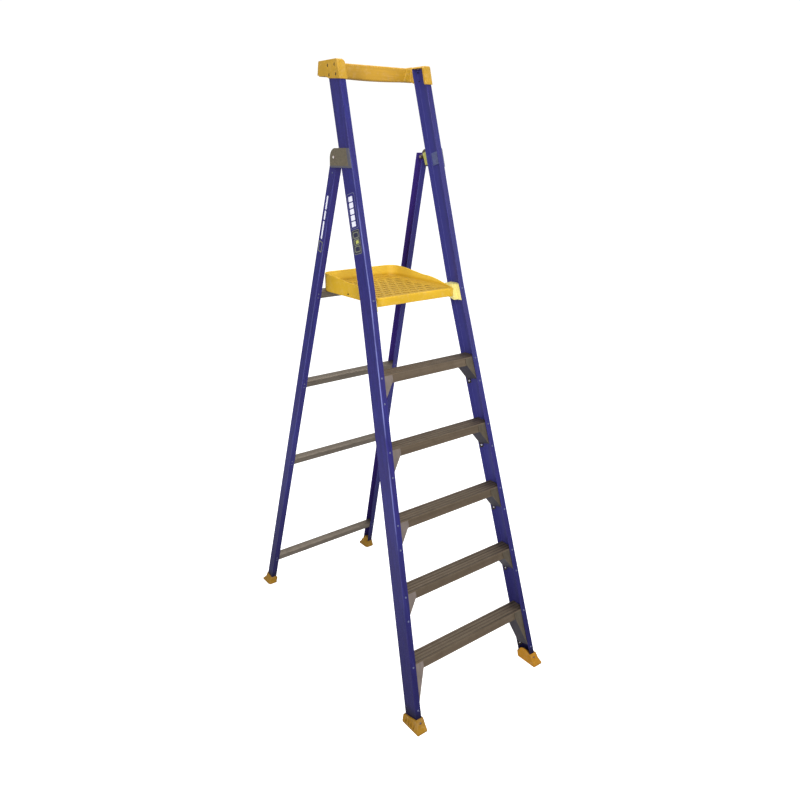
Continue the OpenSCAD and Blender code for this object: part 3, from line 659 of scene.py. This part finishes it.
def tread_profile(top, bottom):
    """Closed (y, z) section: ribbed top, rounded nosings, two skirts with a bottom bead."""
    secant = 1 / math.cos(FRONT_LEAN)
    front, rear = STILE_T * secant, (STILE_D - STILE_T) * secant
    skirt_f = front + BRACE_T * secant
    skirt_r = rear - BRACE_T * secant
    wall = TREAD_T * secant
    ceiling = top - 3.5 * MM
    bead = 0.8 * MM

    def nose(u, sign):
        r = 2.4 * MM
        arc = [i * math.pi / 12 for i in range(7)]
        return [(u + sign * r * (1 - math.cos(a)), top - r + r * math.sin(a)) for a in arc]

    def skirt(u, sign):
        """Down the outside of a skirt, round its bottom and up the inside to the ceiling."""
        inner = u + sign * wall
        return [(u, ceiling - bead), (u, bottom + bead), (u + sign * bead, bottom),
                (inner - sign * bead / 2, bottom), (inner, bottom + bead),
                (inner, ceiling - 1.5 * MM), (inner + sign * 1.5 * MM, ceiling)]

    pts = [(front, ceiling)] + nose(front, 1)
    u = front + 7 * MM
    while u < rear - 8 * MM:
        for k in range(7):
            t = k / 6
            pts.append((u + GROOVE_W * t, top - GROOVE_DEEP * (1 - math.cos(2 * math.pi * t))))
        u += GROOVE_PITCH
    pts += nose(rear, -1)[::-1] + [(rear, ceiling)] + skirt(skirt_r, -1) + skirt(skirt_f, 1)[::-1]
    return [Vector((0, FRONT_Y + z * FRONT_SLOPE + u, z)) for u, z in pts]


def bar(node, outline, finish=None):
    """A node rebuilt as one outline that runs across the ladder."""
    ends = [[p + Vector((x, 0, 0)) for p in outline] for x in (-high(node).x, high(node).x)]
    install(crisp(f"{node}_look", [loft(ends)], 40), node, finish)


for i in range(1, 6):
    node = f"tread_{i}"
    bar(node, tread_profile(high(node).z, low(node).z))
    for side in SIDES:
        # The right braces take the darker copy, as painted shade
        finish = "brace_aluminium" if side == "left" else "brace_shaded"
        rounded(f"knee_brace_{i}_{side}", finish, 0.0014, 0.0005, 0.008, 3, 0.0035)

# Rear bars: their depths behind the rails' front plane, height, wall and place up the rails
BAR_V0, BAR_V1, BAR_H, BAR_WALL = 3.5 * MM, 41.5 * MM, 29 * MM, 2 * MM
BAR_S = {
    "rear_bar_lower": 0.162,
    "rear_bar_middle": 0.813,
    "rear_bar_upper": 1.264,
    "platform_support_bar": 1.720,
}
for node, s in BAR_S.items():
    top = s + BAR_H
    corners = [
        (BAR_V0, s, 0.6 * MM), (BAR_V0, top, 2.4 * MM), (BAR_V1, top, 2.4 * MM),
        (BAR_V1, s, 0.6 * MM), (BAR_V1 - BAR_WALL, s, 0.5 * MM),
        (BAR_V1 - BAR_WALL, top - BAR_WALL, 1.0 * MM),
        (BAR_V0 + BAR_WALL, top - BAR_WALL, 1.0 * MM), (BAR_V0 + BAR_WALL, s, 0.5 * MM),
    ]
    bar(node, [REAR_M @ Vector((0, p.x, p.y)) for p in rounded_outline(corners, 4)], "bar_aluminium")


# -------- rivets
FLANGE_AXIS = FRONT_M.to_3x3() @ Vector((0, 1, 0))
RAIL_AXIS = REAR_M.to_3x3() @ Vector((0, 1, 0))
CROSS_AXIS = Vector((1, 0, 0))


def loose_parts(node):
    """The separate solids of a node, each as a list of points."""
    ob = raw_copy(node, "scan")
    bm = bmesh.new()
    bm.from_mesh(ob.data)
    seen, parts = set(), []
    for v in bm.verts:
        if v in seen:
            continue
        stack, part = [v], []
        seen.add(v)
        while stack:
            w = stack.pop()
            part.append(w.co.copy())
            for e in w.link_edges:
                o = e.other_vert(w)
                if o not in seen:
                    seen.add(o)
                    stack.append(o)
        parts.append(part)
    bm.free()
    bpy.data.objects.remove(ob)
    return parts


# (radius, height) of rivet heads and of a set shop end, in mm for a 5 mm rivet
DOME = ((4.4, 0), (4.4, 0.35), (4.1, 0.95), (3.4, 1.5), (2.4, 1.85), (1.5, 1.98), (1.2, 1.55), (0, 1.4))
HEADS = {
    "dome": DOME,
    "blind": DOME,
    "flush": ((2.5, 0), (1.3, 0), (1.1, -0.3), (0, -0.35)),
    "sunk": ((6, 0), (5.9, 0.4), (3, 0.9), (1.4, 1), (1.1, 0.5), (0, 0.4)),
}
SHOP_END = ((0, 0), (3.2, 0), (4.1, 0.7), (4.2, 1.2), (2.5, 1.2))


def rivet_profile(kind, r, length):
    """(radius, height) pairs, with height 0 under the outer head and the shank below it."""
    k = r / 2.5 * MM
    tail = ((0, 0), (2.5, 0)) if kind in ("blind", "sunk") else SHOP_END
    pts = [(a * k, h * k - length) for a, h in tail] + [(2.5 * k, 0.0)]
    return pts + [(a * k, h * k) for a, h in HEADS[kind]]


def rivets(node, pick_axis, kind, r=2.5, sink=0.0, finish=None):
    """Rebuilds each rivet of a group as a turned piece where the CAD has it."""
    built = []
    for part in loose_parts(node):
        axis = pick_axis(part)
        centre = sum(part, Vector()) / len(part)
        along = [(p - centre).dot(axis) for p in part]
        radial = [(p - centre - axis * t).length for p, t in zip(part, along)]
        widest = max(radial)
        ring = [t for t, d in zip(along, radial) if d > 0.97 * widest]
        if kind == "flush":
            out = -1 if sum(ring) > 0 else 1
            base = max(along) if out > 0 else min(along)
        else:
            out = 1 if sum(ring) > 0 else -1
            base = sum(ring) / len(ring)
        length = (base - min(along)) if out > 0 else (max(along) - base)
        foot = [p for p, d in zip(part, radial) if d > 0.5 * widest]
        mid = sum(foot, Vector()) / len(foot)
        origin = mid + axis * ((centre - mid).dot(axis) + base)
        turn = (axis * out).to_track_quat("Z", "Y").to_matrix().to_4x4()
        matrix = Matrix.Translation(origin - axis * out * sink) @ turn
        built.append(lathe(rivet_profile(kind, r, length - sink), matrix, 20))
    install(crisp(f"{node}_look", built, 50), node, finish)


def fixed(axis):
    return lambda part: axis


# Heights between which a rear rail's rivet lies across, through its web
WEB_RIVET_LOW, WEB_RIVET_HIGH = 2.1, 2.25


def rail_or_cross(part):
    """The web rivet near the rail's top lies across; the rest pass through its flanges."""
    z = sum(p.z for p in part) / len(part)
    return CROSS_AXIS if WEB_RIVET_LOW < z < WEB_RIVET_HIGH else RAIL_AXIS


for side in SIDES:
    rivets(f"tread_rivets_{side}", fixed(FLANGE_AXIS), "dome")
    rivets(f"rear_rivets_{side}", rail_or_cross, "dome", 2.0)
rivets("platform_bracket_rivets", fixed(FLANGE_AXIS), "blind")
rivets("front_foot_rivets", fixed(FLANGE_AXIS), "blind")
rivets("rear_foot_rivets", fixed(RAIL_AXIS), "blind", 2.0)
rivets("handrail_rivets", fixed(CROSS_AXIS), "sunk", 2.5, 2.0 * MM)
rivets("hinge_rivets", fixed(CROSS_AXIS), "flush", finish="hinge_rivet")


# -------- hinges and brackets
def pin(full, out):
    """Turned pin with a wide low-domed head toward one side, and a dimple in its other end."""
    lo, hi = low(full), high(full)
    wide, neck = (hi.z - lo.z) / 2, hi.x - lo.x - 3 * MM
    profile = in_mm((0, 0.3), (2.4, 0), (4.2, 0), (5, 0.8)) + [(5 * MM, neck)]
    dome = ((1, 0), (1, 0.6), (0.93, 1.4), (0.75, 2.2), (0.45, 2.8), (0, 3))
    profile += [(wide * part, neck + rise * MM) for part, rise in dome]
    start = ((lo.x + hi.x - out * (hi.x - lo.x)) / 2, (lo.y + hi.y) / 2, (lo.z + hi.z) / 2)
    install(crisp(f"{full}_look", [turned(profile, start, out, 32)], 40), full)


for side, sign in SIDES.items():
    for node, width, shortest, steps, finish in (
        ("hinge_plate", 0.0009, 0.002, 3, None),
        ("hinge_backing_plate", 0.0006, 0.004, 3, None),
        ("hinge_spacer", 0.0016, 0.004, 3, None),
        ("platform_bracket", 0.0026, 0.004, 3, None),
        ("hinge_sleeve", 0.0006, 0.0004, 2, "nut_steel"),
        ("hinge_nut", 0.0006, 0.0004, 2, "nut_steel"),
    ):
        rounded(f"{node}_{side}", finish, width, width, shortest, steps)
    pin(f"hinge_pin_{side}", sign)
    pin(f"platform_pin_{side}", -sign)


# -------- feet
# In mm. Front foot's inner wall: (depth, height). Rear foot's wall: (height, reach out and in
# from the rail's outer face, reach before its front plane, rise toward the rear) of each ring
TONGUE = ((3, 12), (3, 40), (9, 51), (22, 60), (38, 62), (54, 57), (68, 44), (73, 12))
COLLAR = ((1, 12, 34, 10, 0), (9, 12, 34, 11, 0), (26, 6.5, 33, 11, 4), (44, 2.2, 31, 15, 11))


def front_tongue(sign):
    """Rounded inner wall of a front foot: it stands up across the channel's open side."""
    sections = []
    for inset in (35.5, 29):
        x = sign * (BASE_HALF - inset * MM)
        sections.append([Vector((x, FRONT_Y + depth * MM + z * MM * FRONT_SLOPE, z * MM))
                         for depth, z in TONGUE])
    return loft(sections)


def rear_collar(sign):
    """Wall of a rear foot round the rail's end, flaring down to the sole."""
    sections = []
    for z, out, inset, fore, rise in COLLAR:
        y0, y1 = REAR_Y - fore * MM, REAR_Y + 49 * MM - z * MM * REAR_SLOPE
        ring = rounded_box(RAIL_HALF - inset * MM, y0, RAIL_HALF + out * MM, y1, 6 * MM, 4)
        sections.append([Vector((sign * p.x, p.y, (z + rise * (p.y - y0) / (y1 - y0)) * MM))
                         for p in ring])
    return loft(sections)


for side, sign in SIDES.items():
    for node, extra in (("front_foot", front_tongue(sign)), ("rear_foot", rear_collar(sign))):
        full = f"{node}_{side}"
        # The left front foot and the rear feet take the darker copy: dirt, and painted shade
        soiled = full == "front_foot_left" or node == "rear_foot"
        moulded(full, "foot_dirt_and_shade" if soiled else None, 0.0011, 4, extra)


# -------- handrail
# The bar's box, and how much lower its underside is in the middle than at its ends
BAR_LO, BAR_HI = low("handrail_bar"), high("handrail_bar")
BOW = 5 * MM


def handrail_bar():
    """Rounded bar whose underside sags toward the middle."""
    deep, top, stations = BAR_HI.y - BAR_LO.y, BAR_HI.z, 28
    sections = []
    for k in range(stations + 1):
        t = 2 * k / stations - 1
        base = BAR_LO.z + BOW * t * t
        corners = [(0, base, 6 * MM), (deep, base, 6 * MM), (deep, top, 7 * MM), (0, top, 7 * MM)]
        sections.append([Vector((t * BAR_HI.x, BAR_LO.y + p.x, p.y))
                         for p in rounded_outline(corners, 5)])
    install(crisp("handrail_bar_look", [loft(sections)], 45), "handrail_bar")


def cap_sleeve(sign):
    """Sleeve of the cap over the bar's end, reaching further in along the bottom."""
    z0, z1 = BAR_LO.z + BOW - 0.8 * MM, BAR_HI.z + 0.8 * MM
    ring = rounded_box(BAR_LO.y - 2 * MM, z0, BAR_HI.y + MM, z1, 6 * MM, 5)
    sections = [[Vector((sign * (BAR_HI.x + 4 * MM), *p)) for p in ring], []]
    for p in ring:
        reach = 4 * MM + 19 * MM * ((z1 - p.y) / (z1 - z0)) ** 0.7
        sections[1].append(Vector((sign * (BAR_HI.x - reach), *p)))
    return loft(sections)


# Cap rivets: depths behind the front plane, drops from the cap's top, and their recesses
CAP_RIVET_DEPTHS, CAP_RIVET_DROPS = (20 * MM, 68 * MM), (20 * MM, 54 * MM)
RECESS_L, RECESS_W, RECESS_DEEP = 14 * MM, 8 * MM, 2.6 * MM


def slotted_recess(x, y, z):
    """Upright round-ended cutter, for the hollow round one cap rivet."""
    ring = stadium(z, y, RECESS_L, RECESS_W)
    ends = (x - RECESS_DEEP, x + RECESS_DEEP)
    return gather("recess", [loft([[Vector((end, b, a)) for a, b in ring] for end in ends])])


def handrail_cap(side, sign):
    """Moulded cap with a hollow round each of its four outer rivets."""
    full = f"handrail_cap_{side}"
    outer = high(full).x if sign > 0 else low(full).x
    top = high(full).z
    cutters = []
    for depth in CAP_RIVET_DEPTHS:
        for z in (top - drop for drop in CAP_RIVET_DROPS):
            cutters.append(slotted_recess(outer, FRONT_Y + z * FRONT_SLOPE + depth, z))
    moulded(full, "cap_yellow", 0.0013, 5, cap_sleeve(sign), cutters)


handrail_bar()
for side, sign in SIDES.items():
    handrail_cap(side, sign)


# -------- tray platform
# Skirt below the deck and its step over the rear bar, walls, corners in plan, rims above the
# deck, and the lengths over which they rise, they lift to the rear and the lip runs out
SKIRT, SKIRT_STEP = 26 * MM, 11 * MM
TRAY_T, DECK_T = 5 * MM, 6 * MM
CORNER_R = 50 * MM
SIDE_RIM, REAR_RIM = 34 * MM, 52 * MM
RIM_RUN, LIFT_RUN, LIP_RUN = 185 * MM, 230 * MM, 60 * MM
STUD_Y, STUD_Z = TRAY_LO.y + 212 * MM, DECK_Z - 13 * MM
KNOB_Y, KNOB_Z = TRAY_LO.y + 248 * MM, DECK_Z - 4 * MM


def held(t):
    """The value, kept from 0 to 1."""
    return min(1.0, max(0.0, t))


def rim_height(y):
    """Height of the rim above the deck at a place along the tray."""
    rise = SIDE_RIM * math.sin(math.pi / 2 * held((y - TRAY_LO.y) / RIM_RUN))
    back = held(1 - (TRAY_HI.y - y) / LIFT_RUN)
    return max(1.2 * MM, rise + (REAR_RIM - SIDE_RIM) * math.sin(math.pi / 2 * back))


def skirt_base(y):
    """Height of the skirt's lower edge: down at the lip, and stepped up over the rear bar."""
    ahead = held((y - TRAY_LO.y - 2 * TRAY_T) / (LIP_RUN - 2 * TRAY_T))
    bar = REAR_Y - (DECK_Z - SKIRT) * REAR_SLOPE + BAR_V0 / math.cos(REAR_LEAN)
    over = held((y - bar + MM) / (39 * MM))
    return DECK_Z - LIP + (LIP - SKIRT) * ahead + SKIRT_STEP * over + 0.2 * MM


def tray_path():
    """Points round the tray from the front left to the front right, with outward normals."""
    half, r, straight = TRAY_HI.x, CORNER_R, 26
    y0, y1 = TRAY_LO.y + 3 * MM, TRAY_HI.y
    pts = []
    for k in range(straight):
        pts.append((Vector((-half, y0 + (y1 - r - y0) * k / straight)), Vector((-1, 0))))
    for k in range(15):
        a = math.pi - math.pi / 2 * k / 14
        n = Vector((math.cos(a), math.sin(a)))
        pts.append((Vector((-half + r, y1 - r)) + n * r, n))
    rear = [(Vector((-half + r + 2 * (half - r) * k / 8, y1)), Vector((0, 1))) for k in range(1, 8)]
    return pts + rear + [(Vector((-p.x, p.y)), Vector((-n.x, n.y))) for p, n in reversed(pts)]


def tray_walls():
    """Skirt, rim with a rounded lip, and the fillet into the deck, swept round the tray."""
    sections = []
    for p, n in tray_path():
        h = rim_height(p.y)
        top, base = DECK_Z + h, skirt_base(p.y)
        lip = min(2.4 * MM, h * 0.45)
        corners = [
            (0, base, 1.2 * MM), (0, top, lip), (TRAY_T, top, lip),
            (TRAY_T, DECK_Z, min(15 * MM, h * 0.5)), (24 * MM, DECK_Z - 0.8 * MM, 0.4 * MM),
            (24 * MM, DECK_Z - 4 * MM, 0.4 * MM), (TRAY_T - MM, DECK_Z - 4.5 * MM, 2 * MM),
            (TRAY_T - MM, base, 1.2 * MM),
        ]
        sections.append([Vector((*(p - n * q.x), q.y)) for q in rounded_outline(corners, 4)])
    return loft(sections)


def slab_from_outlines(name, outlines, z0, z1, edge):
    """Plate with holes: the first outline is its edge and the others are cut through it."""
    curve = bpy.data.curves.new(name, "CURVE")
    curve.dimensions = "2D"
    curve.fill_mode = "BOTH"
    curve.extrude = (z1 - z0) / 2 - edge
    curve.bevel_depth = edge
    curve.bevel_resolution = 1
    curve.offset = -edge
    for pts in outlines:
        spline = curve.splines.new("POLY")
        spline.points.add(len(pts) - 1)
        for point, (x, y) in zip(spline.points, pts):
            point.co = (x, y, 0, 1)
        spline.use_cyclic_u = True
    ob = placed(name, curve)
    ob.location = (0, 0, (z0 + z1) / 2)
    me = evaluated(ob)
    me.transform(ob.matrix_world)
    bpy.data.objects.remove(ob)
    return mesh_data(me)


def deck_outline(inset):
    """Plan of the deck plate, rounded at its two rear corners."""
    half, r = TRAY_HI.x - inset, CORNER_R - inset
    y0, y1 = TRAY_LO.y + 6 * MM, TRAY_HI.y - inset
    angles = [math.pi / 2 * k / 10 for k in range(11)]
    arc = [(half - r + r * math.cos(a), y1 - r + r * math.sin(a)) for a in angles]
    return [(-half, y0), (half, y0)] + arc + [(-x, y) for x, y in reversed(arc)]


def tray_slots():
    """Rows of short blind slots across the deck, every other row shifted by half a pitch."""
    pitch, row, length, width = 44 * MM, 37 * MM, 36 * MM, 13 * MM
    half = TRAY_HI.x - 22 * MM
    y = TRAY_LO.y + 44 * MM
    slots, k = [], 0
    while y < TRAY_HI.y - 26 * MM:
        count = 8 - k % 2
        for i in range(count):
            x = (i - (count - 1) / 2) * pitch
            if abs(x) + length / 2 < half:
                slots.append(stadium(x, y, length, width))
        y += row
        k += 1
    return slots


def box_part(lo, hi):
    """A block with its long edges rounded."""
    ring = rounded_box(lo[1], lo[2], hi[1], hi[2], 0.8 * MM, 2)
    return loft([[Vector((x, p.x, p.y)) for p in ring] for x in (lo[0], hi[0])])


def nose_part():
    """Bull-nosed front member between the side skirts."""
    y0 = TRAY_LO.y
    corners = [
        (y0, TRAY_LO.z, 2.0 * MM), (y0, DECK_Z + 0.8 * MM, 4.5 * MM),
        (y0 + 22 * MM, DECK_Z + 0.4 * MM, 1.0 * MM), (y0 + 22 * MM, DECK_Z - 5 * MM, 1.0 * MM),
        (y0 + 5 * MM, DECK_Z - 5 * MM, 2.0 * MM), (y0 + 5 * MM, TRAY_LO.z, 1.2 * MM),
    ]
    ring = rounded_outline(corners, 5)
    half = TRAY_HI.x
    ends = [(-half, 0.985), (-half + 2 * MM, 1.0), (half - 2 * MM, 1.0), (half, 0.985)]
    mid = Vector((y0 + 10 * MM, DECK_Z - 10 * MM))
    return loft([[Vector((x, *(mid + (p - mid) * k))) for p in ring] for x, k in ends])


def tray_hole_shade(side, sign):
    """Dark disk in the side skirt, behind the stile: painted shade, standing for the hole in the lug
    round it.
    """
    profile = in_mm((0, -4), (4, -4), (4, 1.7), (3.2, 2.1), (1.6, 2.1), (0, 1.2))
    place = (sign * TRAY_HI.x, STUD_Y, STUD_Z)
    ob = crisp(f"tray_hole_shade_{side}", [turned(profile, place, sign, 20)], 40)
    # Near-black, as painted shade in the hole
    ob.data.materials.append(MAT["dark_rivet_metal"])
    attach(ob, BODY["platform_tray"])


def side_fittings(sign):
    """Knob, lug and pivot hub on one side skirt."""
    face = sign * TRAY_HI.x
    pivot = (low("platform_pin_left") + high("platform_pin_left")) / 2
    knob = in_mm((0, 0), (4, 0), (4, 5), (3, 6), (0, 6.2))
    lug = in_mm((0, -2), (8, -2), (8, 0.8), (7, 1.6), (0, 1.6))
    hub = in_mm((5.06, -6), (9, -6), (9, 1.6), (8.4, 2.2), (5.06, 2.2), (5.06, -6))
    return [
        turned(knob, (face - sign * TRAY_T, KNOB_Y, KNOB_Z), sign, 20),
        turned(lug, (face, STUD_Y + 6 * MM, STUD_Z), sign, 24),
        turned(hub, (face - sign * MM, pivot.y, pivot.z), sign, 28),
    ]


def tray():
    parts = [tray_walls(), nose_part()]
    outlines = [deck_outline(4 * MM)] + tray_slots()
    parts.append(slab_from_outlines("deck", outlines, DECK_Z - 2.8 * MM, DECK_Z, 0.7 * MM))
    parts.append(slab_from_outlines("deck_floor", outlines[:1], DECK_Z - DECK_T,
                                    DECK_Z - 2.4 * MM, 0.3 * MM))
    for x in (-105 * MM, -35 * MM, 35 * MM, 105 * MM):
        parts.append(box_part((x - 1.5 * MM, TRAY_LO.y + 4 * MM, DECK_Z - 14 * MM),
                              (x + 1.5 * MM, TRAY_HI.y - 40 * MM, DECK_Z - DECK_T + MM)))
    parts += side_fittings(-1) + side_fittings(1)
    install(crisp("platform_tray_look", parts, 38), "platform_tray")


tray()
for side, sign in SIDES.items():
    tray_hole_shade(side, sign)


# -------- blank stickers
STICKERS = {
    kind: moulding(f"sticker_{kind}", tint, (0.28, 0.42), 0.00004, 0.1, 0.9)
    for kind, tint in (
        ("ink", (0.020, 0.020, 0.050)),
        ("white", (0.80, 0.81, 0.92)),
        ("grey", (0.17, 0.18, 0.26)),
        ("olive", (0.20, 0.21, 0.15)),
        ("lime", (0.50, 0.52, 0.12)),
    )
}
FILM = 0.12 * MM


def panel(s0, s1, v0, v1, r=3.0):
    """Rounded outline between two lengths up a channel and two depths across its web, in mm."""
    return rounded_box(v0 * MM, s0 * MM, v1 * MM, s1 * MM, r * MM, 4)


def ring_panel(s0, s1, v0, v1, wide, r, inner_r):
    """Outer and inner outline of a frame of one width."""
    return panel(s0, s1, v0, v1, r), panel(s0 + wide, s1 - wide, v0 + wide, v1 - wide, inner_r)


def sticker(name, node, kind, outlines, lift=FILM):
    """Thin blank film on a web: a filled panel, or a ring when a second outline is given."""
    place = on_stile if node == "front_stile_left" else on_rail
    levels = (-0.05 * MM, lift)
    verts, faces = [], []
    count = len(outlines[0])
    for outline in outlines:
        for d in levels:
            verts += [place(p, d) for p in outline]
    for k in range(count):
        j = (k + 1) % count
        faces.append((k, j, count + j, count + k))
        if len(outlines) == 2:
            faces.append((2 * count + k, 2 * count + j, 3 * count + j, 3 * count + k))
            faces.append((count + k, count + j, 3 * count + j, 3 * count + k))
    if len(outlines) == 1:
        faces.append(tuple(range(count, 2 * count)))
    ob = gather(name, [(verts, faces)])
    ob.data.materials.append(STICKERS[kind])
    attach(ob, BODY[node])


def on_stile(p, lift):
    """Point on the left stile's outer web, above the bend."""
    x = BEND_HALF - (p.y - BEND_S) * TOP_SPLAY
    return FRONT_M @ Vector((-x - lift, p.x, p.y))


def on_rail(p, lift):
    """Point on the left rear rail's outer web."""
    return REAR_M @ Vector((p.y * RAIL_SPLAY - RAIL_HALF - lift, p.x, p.y))


def stickers():
    """Plain shapes where the ladder carries labels, with no lettering."""
    stile, rail = "front_stile_left", "rear_rail_left"
    sticker("stile_label_ring", stile, "grey", ring_panel(2057, 2192, 13, 67, 1.6, 8, 7))
    for k in range(5):
        s0 = 2065 + k * 24
        sticker(f"stile_label_block_{k}", stile, "white", [panel(s0, s0 + 20, 29, 57)])
    sticker("stile_plate", stile, "ink", [panel(1958, 2052, 13, 67, 8)])
    sticker("stile_plate_ring", stile, "olive", ring_panel(1958, 2052, 13, 67, 2, 8, 7), 2 * FILM)
    for k in range(3):
        s0 = 1966 + k * 27
        block = ring_panel(s0, s0 + 24, 21, 59, 3.5, 5, 4)
        sticker(f"stile_plate_block_{k}", stile, "olive", block, 2 * FILM)
    sticker("stile_plate_mark", stile, "lime", [panel(1999, 2011, 27, 46)], 2 * FILM)
    for k, (s0, s1) in enumerate(((1986, 2062), (2068, 2106), (2111, 2168))):
        sticker(f"rail_label_bar_{k}", rail, "white", [panel(s0, s1, 20, 30)])
    sticker("rail_label_ring", rail, "olive", ring_panel(1930, 1976, 10, 38, 4, 5, 3))


stickers()


# -------- floor, light, camera
FLOOR_HALF = 60


def floor():
    """Plain pale floor: it glows evenly for the camera, and takes soft light from the lamps."""
    corners = [(x * FLOOR_HALF, y * FLOOR_HALF, 0) for x, y in ((-1, -1), (1, -1), (1, 1), (-1, 1))]
    ob = new_object("floor", corners, [(0, 1, 2, 3)])
    n = Nodes("floor_paint")
    paint = n.ramp(n.noise(n.coord, 1.2, 3.0), [(0.3, 0.60), (0.7, 0.64)])
    seen = n.add("ShaderNodeLightPath").outputs["Is Camera Ray"]
    ob.data.materials.append(n.finish(
        paint, 0.8, Specular_IOR_Level=0.2, Emission_Color=(1.0, 1.0, 1.0, 1.0),
        Emission_Strength=n.remap(seen, 0.0, 1.0, 0.0, 0.95)))


def studio():
    """Even white surroundings, brighter to the camera than as light."""
    world = bpy.data.worlds.new("studio")
    world.use_nodes = True
    tree = world.node_tree
    back = tree.nodes["Background"]
    seen = tree.nodes.new("ShaderNodeLightPath").outputs["Is Camera Ray"]
    level = tree.nodes.new("ShaderNodeMapRange")
    level.inputs["To Min"].default_value = 0.45
    level.inputs["To Max"].default_value = 1.05
    tree.links.new(seen, level.inputs["Value"])
    tree.links.new(level.outputs[0], back.inputs["Strength"])
    back.inputs["Color"].default_value = (1.0, 1.0, 1.0, 1.0)
    bpy.context.scene.world = world


# Soft lamps, aimed at the ladder's middle: place, width and height, power and colour
AIM = Vector((0, 0, 1.1))
LAMPS = {
    "key": ((-2.2, -4.2, 3.6), (1.2, 3.0), 135, (1.0, 0.98, 0.95)),
    "strip": ((-3.4, -2.4, 1.6), (0.35, 3.2), 70, (0.97, 0.98, 1.0)),
    "fill": ((3.6, -3.0, 3.0), (3.0, 3.0), 45, (0.96, 0.98, 1.0)),
    "top": ((0.2, 0.4, 5.2), (3.5, 3.5), 150, (1.0, 1.0, 1.0)),
}


def lamps():
    for name, (place, (wide, tall), power, colour) in LAMPS.items():
        data = bpy.data.lights.new(name, "AREA")
        data.shape = "RECTANGLE"
        data.size, data.size_y = wide, tall
        data.energy = power
        data.color = colour
        lamp = placed(name, data)
        lamp.location = place
        lamp.rotation_euler = (AIM - Vector(place)).to_track_quat("-Z", "Y").to_euler()


# The photograph's viewing angle, found by fitting the ladder's outlines
EYE = (-1.812, FRONT_Y - 1.810, 2.2614)
EYE_DOWN, EYE_TURN = math.radians(19.22), math.radians(37.05)
LENS = 32.05


def camera():
    data = bpy.data.cameras.new("camera")
    data.sensor_width = 36.0
    data.lens = LENS
    ob = placed("camera", data)
    ob.location = EYE
    ob.rotation_euler = (math.pi / 2 - EYE_DOWN, 0, -EYE_TURN)
    bpy.context.scene.camera = ob


floor()
studio()
lamps()
camera()
bpy.context.scene.view_settings.view_transform = "Standard"
bpy.context.scene.view_settings.look = "None"
